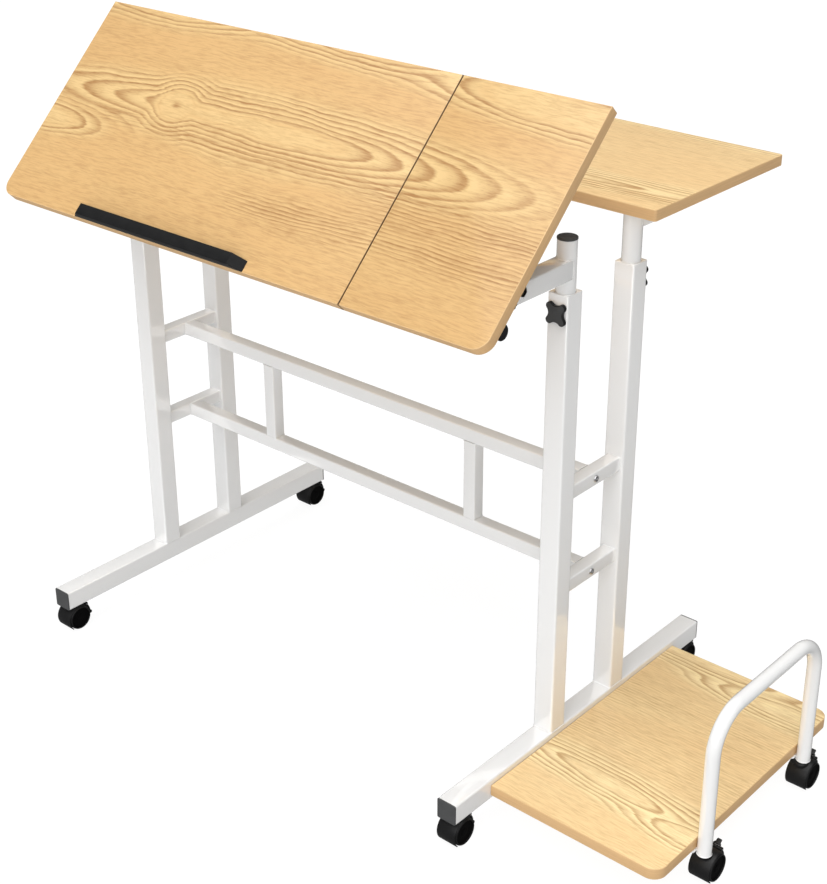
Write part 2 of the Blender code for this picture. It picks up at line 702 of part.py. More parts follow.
def inner_ear():
    """The bracket's inner ear, with the curved slot that the lock screw runs in."""
    head = PIVOT_TO_TOP - SEAT_GAP - BRACKET_PLATE / 2
    rim = LOCK_RADIUS + LOCK_RIM
    slot_start = math.pi - TILT_AT_REST
    slot_stop = math.pi - TILT_WHEN_LOW
    margin = LOCK_RIM / LOCK_RADIUS
    rim_start = math.pi - math.asin(head / rim)
    outline = [(BRACKET_TAIL - EAR_THICKNESS, head)]
    outline += arc((0, 0), rim, rim_start, slot_stop + margin, WIDE_CORNER_STEPS)
    outline += arc((0, 0), EAR_RADIUS, math.pi * 3 / 2, math.tau, CORNER_STEPS * 2)
    half_slot = LOCK_SCREW / 2 + SLIDING_CLEARANCE
    start_middle = (LOCK_RADIUS * math.cos(slot_start), LOCK_RADIUS * math.sin(slot_start))
    stop_middle = (LOCK_RADIUS * math.cos(slot_stop), LOCK_RADIUS * math.sin(slot_stop))
    slot = arc((0, 0), LOCK_RADIUS + half_slot, slot_start, slot_stop, SMALL_STEPS)
    slot += arc(stop_middle, half_slot, slot_stop, slot_stop + math.pi, WIDE_CORNER_STEPS)[1:-1]
    slot += arc((0, 0), LOCK_RADIUS - half_slot, slot_stop, slot_start, SMALL_STEPS)
    slot += arc(start_middle, half_slot, slot_start + math.pi, slot_start + math.tau, WIDE_CORNER_STEPS)[1:-1]
    return turned_by(plate(EAR_THICKNESS, outline, slot), ON_ITS_SIDE)


def tilt_bracket(side):
    """A bracket under the front top that straddles an arm, with its pivot pin along X."""
    ear_x = FRONT_ARM_SIZE / 2 + EAR_CLEARANCE + EAR_THICKNESS / 2
    width = (ear_x + EAR_THICKNESS / 2) * 2
    depth = BRACKET_LEAD + BRACKET_TAIL
    base = box(width + EAR_CLEARANCE * 2, depth, BRACKET_PLATE)
    base = moved(base, y=(BRACKET_TAIL - BRACKET_LEAD) / 2, z=PIVOT_TO_TOP - SEAT_GAP - BRACKET_PLATE / 2)
    outer = moved(outer_ear(), x=side * ear_x)
    inner = moved(inner_ear(), x=-side * ear_x)
    pin = turned_by(cylinder(PIVOT_PIN, width + PIVOT_PIN_HEAD_HEIGHT, ROUND_STEPS), ALONG_X)
    heads = []
    for end in (-1, 1):
        head = turned_by(cylinder(PIVOT_PIN_HEAD, PIVOT_PIN_HEAD_HEIGHT + EAR_THICKNESS / 2), ALONG_X)
        heads.append(moved(head, x=end * (width + PIVOT_PIN_HEAD_HEIGHT - EAR_THICKNESS / 2) / 2))
    return join(base, outer, inner, pin, *heads)


def tilt_lock(side):
    """A lock screw through the arm and the inner ear's slot, with a round knob outside."""
    arm_face = FRONT_ARM_SIZE / 2
    ear_face = arm_face + EAR_CLEARANCE + EAR_THICKNESS + SEAT_GAP
    hub_start = arm_face + SEAT_GAP
    knob_start = hub_start + LOCK_HUB_LENGTH
    knob_stop = knob_start + LOCK_KNOB_LENGTH
    low = -ear_face - LOCK_HEAD_HEIGHT
    edge = LOCK_KNOB_ROUND
    profile = [(0, knob_stop), (LOCK_KNOB / 2 - edge, knob_stop), (LOCK_KNOB / 2, knob_stop - edge),
               (LOCK_KNOB / 2, knob_start + edge), (LOCK_KNOB / 2 - edge, knob_start),
               (LOCK_HUB / 2, knob_start), (LOCK_HUB / 2, hub_start), (LOCK_SCREW / 2, hub_start),
               (LOCK_SCREW / 2, -ear_face), (LOCK_HEAD / 2, -ear_face), (LOCK_HEAD / 2, low), (0, low)]
    knob = turned(profile)
    return turned_by(knob, ALONG_X if side > 0 else ALONG_X.inverted())


def make_tilting_top(lift):
    """The front top's pieces, in the board's own frame with its origin on the pivot."""
    pivot = (0, PIVOT_Y - UPRIGHT_FRONT_Y, PIVOT_Z - FRONT_ARM_Z)
    top = empty("tilt_axis", lift, pivot, (TILT_AT_REST, 0, 0))
    half = TOP_WIDTH / 2
    seam = half - RIGHT_PANEL_WIDTH - SEAM_GAP
    middle = PIVOT_TO_TOP + BOARD_THICKNESS / 2
    place("front_panel_left", front_panel(-half, seam, -1), OAK, top, (0, 0, middle))
    place("front_panel_right", front_panel(seam + SEAM_GAP, half, 1), OAK, top, (0, 0, middle))
    ledge_place = ((seam - half) / 2, -PIVOT_TO_FRONT_EDGE, LEDGE_BASE)
    place("stop_ledge", ledge(), BLACK_PLASTIC, top, ledge_place)
    make_cross_tube(top)
    for label, side in SIDES:
        place(f"tilt_bracket_{label}", tilt_bracket(side), WHITE_COAT, top, (side * SIDE_X, 0, 0))
        lock_place = (side * SIDE_X, pivot[1] - LOCK_RADIUS, pivot[2])
        place(f"tilt_lock_{label}", tilt_lock(side), BLACK_PLASTIC, lift, lock_place)


def make_cross_tube(top):
    """The tube that ties the two panels, with an end cap at each end."""
    length = CROSS_TUBE_LENGTH - CROSS_CAP_FLANGE * 2
    height = PIVOT_TO_TOP - SEAT_GAP - CROSS_TUBE / 2
    outside = arc((0, 0), CROSS_TUBE / 2, 0, math.tau, ROUND_STEPS)[:-1]
    inner_radius = CROSS_TUBE / 2 - CROSS_TUBE_WALL
    inside = arc((0, 0), inner_radius, 0, math.tau, ROUND_STEPS)[:-1]
    tube = turned_by(plate(length, outside, inside), ALONG_X)
    place("cross_tube", tube, WHITE_COAT, top, (0, -CROSS_TUBE_LEAD, height))
    edge = CROSS_CAP_FLANGE / 3
    plug = inner_radius - SLIDING_CLEARANCE
    radius = CROSS_TUBE / 2
    profile = [(0, CROSS_CAP_FLANGE), (radius - edge, CROSS_CAP_FLANGE), (radius, CROSS_CAP_FLANGE - edge),
               (radius, SEAT_GAP), (plug, SEAT_GAP), (plug, -CROSS_CAP_PLUG), (0, -CROSS_CAP_PLUG)]
    cap = take(turned(profile))
    for label, side in SIDES:
        place_mesh(f"cross_tube_cap_{label}", cap, BLACK_PLASTIC, top,
                   (side * length / 2, -CROSS_TUBE_LEAD, height), (0, side * math.pi / 2, 0))


def star_knob():
    """A knob with four lobes on its diagonals and its screw; its face looks towards -Y.

    The outline's radius is the mean of reach and waist plus half their difference times the
    cosine of four times the angle from a diagonal. The upright's face lies in the XZ plane.
    """
    outline = []
    for step in range(STAR_STEPS):
        angle = math.tau * step / STAR_STEPS
        wave = math.cos(4 * (angle - math.pi / 4))
        radius = (STAR_REACH + STAR_WAIST) / 2 + (STAR_REACH - STAR_WAIST) / 2 * wave
        outline.append((radius * math.cos(angle), radius * math.sin(angle)))
    knob = rounded(plate(STAR_THICKNESS, outline), STAR_ROUND, 1, math.radians(60.0))
    knob = moved(turned_by(knob, FACING_FRONT), y=-SEAT_GAP - STAR_THICKNESS / 2)
    reach = FRAME_TUBE / 2 - POST_DIAMETER / 2 - SEAT_GAP
    length = reach + STAR_THICKNESS / 2 + SEAT_GAP
    screw = moved(turned_by(cylinder(STAR_SCREW, length, ROUND_STEPS), ALONG_Y), y=reach - length / 2)
    return join(knob, screw)


def make_star_knobs(root):
    """A clamp knob on each upright, in front of the front ones and behind the rear ones."""
    knob = take(star_knob())
    z = UPRIGHT_TOP - CLAMP_DROP
    for label, side in SIDES:
        front = (side * SIDE_X, UPRIGHT_FRONT_Y - FRAME_TUBE / 2, z)
        rear = (side * SIDE_X, REAR_UPRIGHT_Y + FRAME_TUBE / 2, z)
        place_mesh(f"clamp_knob_front_{label}", knob, BLACK_PLASTIC, root, front)
        place_mesh(f"clamp_knob_rear_{label}", knob, BLACK_PLASTIC, root, rear, (0, 0, math.pi))


def make_shelf(root):
    """The side shelf, with round corners at its outer side."""
    right = SHELF_RIGHT_X
    rear = SHELF_FRONT_Y + SHELF_DEPTH
    inner = right - SHELF_CORNER
    outline = [(SHELF_LEFT_X, rear), (SHELF_LEFT_X, SHELF_FRONT_Y)]
    outline += arc((inner, SHELF_FRONT_Y + SHELF_CORNER), SHELF_CORNER, -math.pi / 2, 0, WIDE_CORNER_STEPS)
    outline += arc((inner, rear - SHELF_CORNER), SHELF_CORNER, 0, math.pi / 2, WIDE_CORNER_STEPS)
    shelf = rounded(plate(SHELF_THICKNESS, outline), BOARD_ROUND, 1)
    place("side_shelf", shelf, OAK, root, (0, 0, SHELF_TOP_Z - SHELF_THICKNESS / 2))


def guard_run(diameter, start):
    """A round bar along the guard's line: up, round a bend, back, round a bend and down."""
    top = GUARD_HEIGHT - GUARD_TUBE / 2
    near = (GUARD_BEND, top - GUARD_BEND)
    far = (GUARD_SPAN - GUARD_BEND, top - GUARD_BEND)
    line = [(0, start)] + arc(near, GUARD_BEND, math.pi, math.pi / 2, BEND_STEPS)
    line += arc(far, GUARD_BEND, math.pi / 2, 0, BEND_STEPS) + [(GUARD_SPAN, start)]
    curve = bpy.data.curves.new("guard_line", "CURVE")
    curve.dimensions = "3D"
    curve.bevel_depth = diameter / 2
    curve.bevel_resolution = BEND_STEPS
    curve.use_fill_caps = True
    curve.resolution_u = 1
    spline = curve.splines.new("POLY")
    spline.points.add(len(line) - 1)
    for point, (y, z) in zip(spline.points, line):
        point.co = (0, y, z, 1)
    return weld(settle(bench(curve)))


def make_guard(root):
    """The guard, with a lug and a stem socket on each leg."""
    body = guard_run(GUARD_TUBE, 0)
    lugs = []
    for y in (0, GUARD_SPAN):
        lug = moved(shelf_lug(-1), x=-GUARD_TUBE / 2, y=y)
        lugs.append(moved(lug, z=LUG_TOP_Z - LUG_THICKNESS / 2 - CASTER_HEIGHT))
    body = join(body, *lugs)
    tools = [guard_run(GUARD_TUBE - GUARD_WALL * 2, GUARD_PLUG)]
    for y in (0, GUARD_SPAN):
        bore = cylinder(CASTER_STEM + RUNNING_CLEARANCE * 2, GUARD_PLUG * 2 + CUT_OVERRUN, ROUND_STEPS)
        tools.append(moved(bore, y=y))
    place("shelf_guard", cut(body, *tools), WHITE_COAT, root, (GUARD_X, GUARD_FRONT_Y, CASTER_HEIGHT))


def hood_web(axle):
    """The web between the wheels: a disc that reaches up into the fender, with an ear for the lever."""
    radius = WHEEL_RADIUS - WEB_CLEARANCE
    seam = (FENDER_INNER + FENDER_OUTER) / 2
    pin = (axle[0] + LEVER_PIN_Y, axle[1] + LEVER_PIN_Z)
    spread = math.asin(LEVER_EAR_RADIUS / radius)
    rear = FENDER_REAR_ANGLE + WEB_INSET_ANGLE
    front = FENDER_FRONT_ANGLE - WEB_INSET_ANGLE
    outline = arc(axle, seam, rear, front, SMALL_STEPS)
    outline += arc(axle, radius, front, math.tau + LEVER_PIN_ANGLE - spread, SMALL_STEPS)
    outline += arc(pin, LEVER_EAR_RADIUS, LEVER_PIN_ANGLE - math.pi / 2, LEVER_PIN_ANGLE + math.pi / 2,
                   WIDE_CORNER_STEPS)
    outline += arc(axle, radius, LEVER_PIN_ANGLE + spread, rear, 1)
    return turned_by(plate(WEB_THICKNESS, outline), ON_ITS_SIDE)


def caster_hood():
    """A caster's hood and stem; the stem stands on Z, and the XY plane is what it stands under.

    In side view, angles are measured about the axle from the rear, over the top, to the front.
    """
    axle = (CASTER_TRAIL, -AXLE_DROP)
    fender = arc(axle, FENDER_OUTER, FENDER_REAR_ANGLE, FENDER_FRONT_ANGLE, SMALL_STEPS)
    fender += arc(axle, FENDER_INNER, FENDER_FRONT_ANGLE, FENDER_REAR_ANGLE, SMALL_STEPS)
    fender = turned_by(plate(WHEEL_PAIR_WIDTH - FENDER_INSET * 2, fender), ON_ITS_SIDE)
    pin = turned_by(cylinder(LEVER_PIN, LEVER_WIDTH - FENDER_INSET * 2), ALONG_X)
    pin = moved(pin, y=axle[0] + LEVER_PIN_Y, z=axle[1] + LEVER_PIN_Z)
    low = -AXLE_DROP / 2
    collar = moved(cylinder(CASTER_COLLAR, -SEAT_GAP - low), z=(low - SEAT_GAP) / 2)
    stem = cylinder(CASTER_STEM, CASTER_STEM_LENGTH - low / 2, ROUND_STEPS)
    stem = moved(stem, z=(CASTER_STEM_LENGTH + low / 2) / 2)
    swivel = join(collar, stem)
    room = turned_by(cylinder(FENDER_INNER + FENDER_OUTER, WHEEL_PAIR_WIDTH, ROUND_STEPS), ALONG_X)
    swivel = cut(swivel, moved(room, y=axle[0], z=axle[1]))
    hood = join(fender, hood_web(axle), pin, swivel)
    bore = cylinder(AXLE_DIAMETER + RUNNING_CLEARANCE * 2, WHEEL_PAIR_WIDTH, ROUND_STEPS)
    return cut(hood, moved(turned_by(bore, ALONG_X), y=axle[0], z=axle[1]))


def wheel_pair():
    """Two wheels on one axle along X, each with a shallow hubcap face and a round shoulder."""
    out = WHEEL_PAIR_WIDTH / 2
    hub = out - HUBCAP_RECESS
    inner = WEB_THICKNESS / 2 + WHEEL_WEB_GAP
    hubcap = HUBCAP_DIAMETER / 2
    shoulder = WHEEL_ROUND * math.sin(math.pi / 4)
    half = [(0, hub), (hubcap, hub), (hubcap + HUBCAP_RECESS / 2, out), (WHEEL_RADIUS - WHEEL_ROUND, out),
            (WHEEL_RADIUS - WHEEL_ROUND + shoulder, out - WHEEL_ROUND + shoulder),
            (WHEEL_RADIUS, out - WHEEL_ROUND), (WHEEL_RADIUS, inner), (AXLE_DIAMETER / 2, inner)]
    mirrored = [(radius, -height) for radius, height in reversed(half)]
    return turned_by(turned(half + mirrored), ALONG_X)


def brake_lever():
    """A brake lever with a foot nose behind the wheels and a small release tab; origin on its pin."""
    centre = (-LEVER_PIN_Y, -LEVER_PIN_Z)
    outline = arc(centre, LEVER_OUTER, LEVER_TOP_ANGLE, LEVER_NOSE_ANGLE, BEND_STEPS)
    outline += arc(centre, LEVER_INNER, LEVER_NOSE_ANGLE, LEVER_TOP_ANGLE, BEND_STEPS)
    pad = turned_by(plate(LEVER_WIDTH, outline), ON_ITS_SIDE)
    nose_radius = LEVER_OUTER
    nose = turned_by(cylinder(LEVER_NOSE_RADIUS * 2, LEVER_WIDTH), ALONG_X)
    nose = moved(nose, y=centre[0] + nose_radius * math.cos(LEVER_NOSE_ANGLE),
                 z=centre[1] + nose_radius * math.sin(LEVER_NOSE_ANGLE))
    nose_clear = cylinder((LEVER_INNER - SEAT_GAP) * 2, LEVER_WIDTH + CUT_OVERRUN * 2, ROUND_STEPS)
    nose = cut(nose, moved(turned_by(nose_clear, ALONG_X), y=centre[0], z=centre[1]))
    boss = turned_by(cylinder(LEVER_EAR_RADIUS * 2, LEVER_WIDTH), ALONG_X)
    root = LEVER_TAB_ROOT / 2
    tip = LEVER_TAB_WIDTH / 2
    neck = LEVER_TAB_SHOULDER + root - tip
    outline = [(-root, 0), (root, 0), (root, LEVER_TAB_SHOULDER), (tip, neck), (tip, LEVER_TAB_LENGTH),
               (-tip, LEVER_TAB_LENGTH), (-tip, neck), (-root, LEVER_TAB_SHOULDER)]
    tab = turned_by(plate(LEVER_TAB_THICKNESS, outline), FACING_FRONT)
    tab = turned_by(tab, Matrix.Rotation(-LEVER_PIN_ANGLE - LEVER_TAB_LEAN, 4, "X"))
    body = join(pad, nose, boss, tab)
    slot_width = WEB_THICKNESS + LEVER_SLOT_CLEARANCE * 2
    slot = cylinder((LEVER_EAR_RADIUS + LEVER_SLOT_CLEARANCE) * 2, slot_width, ROUND_STEPS)
    room = box(slot_width, (LEVER_EAR_RADIUS + LEVER_SLOT_CLEARANCE * 3) * 2, LEVER_EAR_RADIUS * 2)
    room = turned_by(moved(room, z=-LEVER_EAR_RADIUS), Matrix.Rotation(LEVER_PIN_ANGLE - math.pi / 2, 4, "X"))
    bore = cylinder(LEVER_PIN + RUNNING_CLEARANCE * 2, LEVER_WIDTH + CUT_OVERRUN * 2)
    return cut(body, turned_by(slot, ALONG_X), room, turned_by(bore, ALONG_X))


def make_casters(root):
    """Six casters: two under each foot bar and one under each guard leg."""
    stem_front = FRONT_STEM_INSET
    stem_rear = FOOT_LENGTH - REAR_STEM_INSET
    places = (("front_left", -SIDE_X, stem_front), ("rear_left", -SIDE_X, stem_rear),
              ("front_right", SIDE_X, stem_front), ("rear_right", SIDE_X, stem_rear),
              ("shelf_front", GUARD_X, GUARD_FRONT_Y), ("shelf_rear", GUARD_X, GUARD_FRONT_Y + GUARD_SPAN))
    hood = take(caster_hood())
    wheels = take(wheel_pair())
    lever = take(brake_lever())
    for label, x, y in places:
        swivel = empty(f"swivel_{label}", root, (x, y, CASTER_HEIGHT))
        place_mesh(f"caster_hood_{label}", hood, BLACK_PLASTIC, swivel)
        place_mesh(f"caster_wheels_{label}", wheels, BLACK_PLASTIC, swivel, (0, CASTER_TRAIL, -AXLE_DROP))
        lever_place = (0, CASTER_TRAIL + LEVER_PIN_Y, LEVER_PIN_Z - AXLE_DROP)
        place_mesh(f"caster_brake_{label}", lever, BLACK_PLASTIC, swivel, lever_place)


clear_scene()
TABLE = new_collection("mobile_laptop_table")
BENCH = new_collection("bench")
WHITE_COAT = make_material("white_powder_coat", (0.86, 0.86, 0.85), 0.38, 0.0)
OAK = make_material("light_oak_board", (0.82, 0.62, 0.36), 0.5, 0.0)
BLACK_PLASTIC = make_material("black_plastic", (0.02, 0.02, 0.022), 0.42, 0.0)
GREY_CAP = make_material("dark_grey_plastic", (0.075, 0.078, 0.08), 0.5, 0.0)

table_root = empty("table_origin", None, (-ORIGIN_X, -ORIGIN_Y, 0))
make_feet(table_root)
make_uprights(table_root)
make_ladder(table_root)
front_lift = make_front_lift(table_root)
make_rear_lift(table_root)
make_tilting_top(front_lift)
make_star_knobs(table_root)
make_shelf(table_root)
make_guard(table_root)
make_casters(table_root)
bpy.data.collections.remove(BENCH)
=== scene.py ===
"""Looks of a mobile laptop table: a rolling white steel frame with a tilting oak front top, an oak
rear top and an oak side shelf. Everything is in metres, in the frame of the packed model, whose
front faces -Y and whose side shelf stands at +X.
"""

import json
import math

import bpy
import numpy as np
from bpy.props import FloatProperty, FloatVectorProperty, PointerProperty
from mathutils import Matrix


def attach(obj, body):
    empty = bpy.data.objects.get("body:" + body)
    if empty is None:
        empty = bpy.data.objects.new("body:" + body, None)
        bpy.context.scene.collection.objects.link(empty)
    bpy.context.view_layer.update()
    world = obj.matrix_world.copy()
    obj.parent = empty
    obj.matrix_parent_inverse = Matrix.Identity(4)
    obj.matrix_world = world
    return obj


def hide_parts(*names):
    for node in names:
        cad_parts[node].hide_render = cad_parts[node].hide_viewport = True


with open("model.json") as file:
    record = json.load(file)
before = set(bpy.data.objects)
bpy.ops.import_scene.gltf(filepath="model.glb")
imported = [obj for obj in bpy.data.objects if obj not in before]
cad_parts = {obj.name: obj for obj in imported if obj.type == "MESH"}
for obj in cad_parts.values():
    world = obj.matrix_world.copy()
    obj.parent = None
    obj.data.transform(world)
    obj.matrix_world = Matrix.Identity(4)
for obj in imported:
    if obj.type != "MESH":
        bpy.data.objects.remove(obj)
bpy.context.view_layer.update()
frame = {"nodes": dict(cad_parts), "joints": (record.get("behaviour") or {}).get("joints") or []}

bl_info = {
    "name": "Mobile laptop table",
    "version": (1, 0, 0),
    "blender": (4, 5, 0),
    "location": "3D View > Sidebar > Laptop table",
    "description": "Oak boards, coated steel tubes and black plastic fittings of a rolling table",
    "category": "Add Mesh",
}

JOINTS = {joint["name"]: joint for joint in frame["joints"]}
SIDES = (("left", -1), ("right", 1))
ROWS = (("front", -1), ("rear", 1))
CASTERS = ("front_left", "rear_left", "front_right", "rear_right", "shelf_front", "shelf_rear")

# The packed model's material slots
COAT, OAK = "white_powder_coat", "light_oak_board"
BLACK, GREY = "black_plastic", "dark_grey_plastic"

# Turns that lay a piece drawn along Z on its side
ALONG_X = Matrix.Rotation(math.pi / 2, 4, "Y")
ALONG_Y = Matrix.Rotation(-math.pi / 2, 4, "X")
SIDE_VIEW = Matrix(((0, 0, 1, 0), (1, 0, 0, 0), (0, 1, 0, 0), (0, 0, 0, 1)))
FRONT_VIEW = Matrix.Rotation(math.pi / 2, 4, "X")

TILT_AT_REST = math.radians(45.0)
SEAT_GAP = 0.0003       # between a piece and what it is bolted to
EASE = 0.0004           # round along the cut ends of tubes and plates
ROUND_STEPS = 64        # points round a tube
SMALL_STEPS = 36        # points round a pin or a bolt
ARRIS_STEPS = 3         # rings in a rounded edge


# Where things are, read from the packed model

def radians(angles):
    """Angles in degrees as radians."""
    return tuple(math.radians(angle) for angle in angles)


def at(x=0.0, y=0.0, z=0.0):
    """A shift by a distance along each axis."""
    return Matrix.Translation((x, y, z))


def joint_place(name):
    """The point that a joint turns about."""
    return np.array(JOINTS[name]["pos_m"], float)


TILTED = at(*joint_place("top_tilt")) @ Matrix.Rotation(TILT_AT_REST, 4, "X")


def moved(points, place):
    """Points carried by a turn and a shift: the turn's rows times each point, plus the shift."""
    matrix = np.array(place)
    return points @ matrix[:3, :3].T + matrix[:3, 3]


def box(node, place=None):
    """A node's lowest corner, highest corner, middle and size, in the frame that place gives."""
    mesh = frame["nodes"][node].data
    points = np.empty(len(mesh.vertices) * 3, np.float32)
    mesh.vertices.foreach_get("co", points)
    points = points.reshape(-1, 3).astype(float)
    if place is not None:
        points = moved(points, place.inverted())
    low, high = points.min(0), points.max(0)
    return low, high, (low + high) / 2, high - low


def outward(side):
    """A turn that points Z along X: to the right for a side of one, to the left for minus one."""
    return ALONG_X if side > 0 else ALONG_X.inverted()


def facing(sign):
    """A turn that points Z along Y: to the front for a sign of minus one, to the rear for one."""
    return FRONT_VIEW if sign < 0 else ALONG_Y


# Outlines: (x, y) points that run anticlockwise

def polar(reach, angle):
    """Each reach times the cosine and sine of its angle."""
    return np.reshape(reach, (-1, 1)) * np.column_stack((np.cos(angle), np.sin(angle)))


def steps_round(steps):
    """The angles of equal steps of a turn."""
    return np.arange(steps) * math.tau / steps


def circle(radius, steps=ROUND_STEPS):
    """Points at one radius, at equal steps of a turn."""
    return polar(radius, steps_round(steps))


def arc(centre, radius, start, stop, steps):
    """The centre plus points at one radius, at angles from start to stop."""
    return np.array(centre) + polar(radius, np.linspace(start, stop, steps + 1))


def round_box(width, height, corner, corner_steps=5, side_steps=1):
    """Four quarter arcs about the corners' centres, joined by points at equal shares of each side."""
    signs = ((1, 1), (-1, 1), (-1, -1), (1, -1))
    arcs = np.stack([
        arc((sx * (width / 2 - corner), sy * (height / 2 - corner)), corner,
            turn * math.pi / 2, (turn + 1) * math.pi / 2, corner_steps)
        for turn, (sx, sy) in enumerate(signs)
    ])
    share = np.linspace(0, 1, side_steps + 1)[None, 1:-1, None]
    ends, starts = arcs[:, -1:], np.roll(arcs, -1, 0)[:, :1]
    return np.concatenate((arcs, ends * (1 - share) + starts * share), 1).reshape(-1, 2)


def lobed(reach, waist, lobe, lobes=4, steps=10):
    """Round lobes with hollow arcs between them, each pair touching along a shared tangent.

    The lobe's centre lies at the reach less its radius, and the hollow's centre at the waist plus
    its own radius. That radius makes the two centres stand as far apart as the two radii together.
    """
    half = math.pi / lobes
    stand = reach - lobe
    across, along = stand * math.sin(half), stand * math.cos(half)
    hollow = ((waist - along) ** 2 + across ** 2 - lobe ** 2) / (2 * (lobe + along - waist))
    centre = waist + hollow
    lean = math.atan2(across, centre - along)
    valley = arc((centre, 0), hollow, math.pi + lean, math.pi - lean, steps)
    bulb = arc((along, across), lobe, -lean, lean + half * 2, steps)
    part = np.vstack((valley[:-1], bulb[:-1]))
    turns = np.arange(lobes) * half * 2
    spin = np.stack((np.cos(turns), -np.sin(turns), np.sin(turns), np.cos(turns)), -1)
    return np.einsum("kab,nb->kna", spin.reshape(-1, 2, 2), part).reshape(-1, 2)


def fluted(radius, depth, flutes, steps):
    """A radius less a depth times the fourth power of the sine of half as many waves as flutes."""
    angle = steps_round(steps)
    return polar(radius - depth * np.sin(angle * flutes / 2) ** 4, angle)


def hexagon(apothem, steps=SMALL_STEPS):
    """The distance to a hexagon's side at each angle: its apothem over the cosine to the side."""
    angle = steps_round(steps)
    return polar(apothem / np.cos((angle + math.pi / 6) % (math.pi / 3) - math.pi / 6), angle)


def inset(outline, distance):
    """Each point moved inwards by a distance measured square to both of its sides.

    The move is the sum of the two sides' normals over one plus their product, so that it is
    longer at a corner and keeps both sides parallel to where they were.
    """
    before = outline - np.roll(outline, 1, 0)
    after = np.roll(outline, -1, 0) - outline
    normals = []
    for side in (before, after):
        side = side / np.linalg.norm(side, axis=1, keepdims=True)
        normals.append(np.column_stack((-side[:, 1], side[:, 0])))
    first, second = normals
    product = (first * second).sum(1, keepdims=True)
    return outline + distance * (first + second) / (1 + product)


# Surfaces: stacks of rings, (ring, point, axis) arrays whose rings run anticlockwise going up

def ring_at(outline, height=0.0):
    """An outline as a ring at one height."""
    return np.column_stack((outline, np.full(len(outline), height)))


def lofted(outline, levels):
    """An outline at each (height, inset) of a list."""
    return np.stack([ring_at(inset(outline, by), height) for height, by in levels])


def arris(low, high, radius, steps=ARRIS_STEPS):
    """Heights and insets of a side wall with a quarter round at its foot and at its head."""
    angle = np.linspace(0, math.pi / 2, steps + 1)
    rise, by = radius * (1 - np.cos(angle)), radius * (1 - np.sin(angle))
    return np.vstack((np.column_stack((low + rise, by)), np.column_stack((high - rise, by))[::-1]))


def slab(outline, low, high, radius, steps=ARRIS_STEPS):
    """A flat piece between two heights, with its edges rounded."""
    return lofted(outline, arris(low, high, radius, steps))


def turned(profile, steps=ROUND_STEPS):
    """Rings of a profile's (radius, height) points: radius times cosine and sine, at the height."""
    profile = np.array(profile, float)
    ring = circle(1.0, steps)
    rings = profile[:, None, :1] * ring[None]
    heights = np.broadcast_to(profile[:, None, 1:], (len(profile), steps, 1))
    return np.concatenate((rings, heights), 2)


def swept(path, outline, side):
    """An outline carried along a path that lies square to a side direction.

    Each ring is the path's point plus the outline's x along the side direction and its y along
    the path's direction crossed with it.
    """
    run = np.gradient(path, axis=0)
    run /= np.linalg.norm(run, axis=1, keepdims=True)
    side = np.array(side, float)
    lift = np.cross(run, side)
    return path[:, None] + outline[None, :, :1] * side + outline[None, :, 1:] * lift[:, None]


def hooped(loop, radius, centre_of, steps=8):
    """A thin round bead along a closed loop of points, about an inner centre for each point.

    A ring's point is the loop's point plus radius times cosine along the way out from the centre
    and sine along the loop's direction crossed with it.
    """
    run = np.roll(loop, -1, 0) - np.roll(loop, 1, 0)
    run /= np.linalg.norm(run, axis=1, keepdims=True)
    out = loop - centre_of
    out -= (out * run).sum(1, keepdims=True) * run
    out /= np.linalg.norm(out, axis=1, keepdims=True)
    up = np.cross(run, out)
    ring = circle(radius, steps)
    return loop[:, None] + ring[None, :, :1] * out[:, None] + ring[None, :, 1:] * up[:, None]


class Form:
    """Closed surfaces gathered into one piece."""

    def __init__(self):
        self.points, self.faces, self.slots, self.count = [], [], [], 0

    def add(self, rings, place=None, closed=False, slot=0, end_slot=None):
        """Join each ring to the next with quads, and close both ends with a flat face."""
        layers, around, _ = rings.shape
        points = rings.reshape(-1, 3)
        self.points.append(points if place is None else moved(points, place))
        index = np.arange(layers * around).reshape(layers, around) + self.count
        low, high = (index, np.roll(index, -1, 0)) if closed else (index[:-1], index[1:])
        quads = np.stack((low, np.roll(low, -1, 1), np.roll(high, -1, 1), high), -1).reshape(-1, 4)
        self.faces += quads.tolist()
        self.slots += [slot] * len(quads)
        if not closed:
            self.faces += [index[0, ::-1].tolist(), index[-1].tolist()]
            self.slots += [slot if end_slot is None else end_slot] * 2
        self.count += layers * around
        return self

    def piece(self, name, body, slot, finishes, *stands_for, sharp=35.0):
        """Make the object, let it ride on its body and hide what it stands for.

        Finishes are given by name, with a space between two. Edges over the sharp angle stay sharp.
        """
        mesh = bpy.data.meshes.new(name)
        mesh.from_pydata(np.concatenate(self.points).tolist(), [], self.faces)
        for finish in finishes.split():
            mesh.materials.append(finish_named(finish))
        mesh.polygons.foreach_set("material_index", self.slots)
        mesh.shade_smooth()
        mesh.set_sharp_from_angle(angle=math.radians(sharp))
        piece = bpy.data.objects.new(name, mesh)
        bpy.context.scene.collection.objects.link(piece)
        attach(piece, body)
        if stands_for:
            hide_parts(*stands_for)


# Shader maths

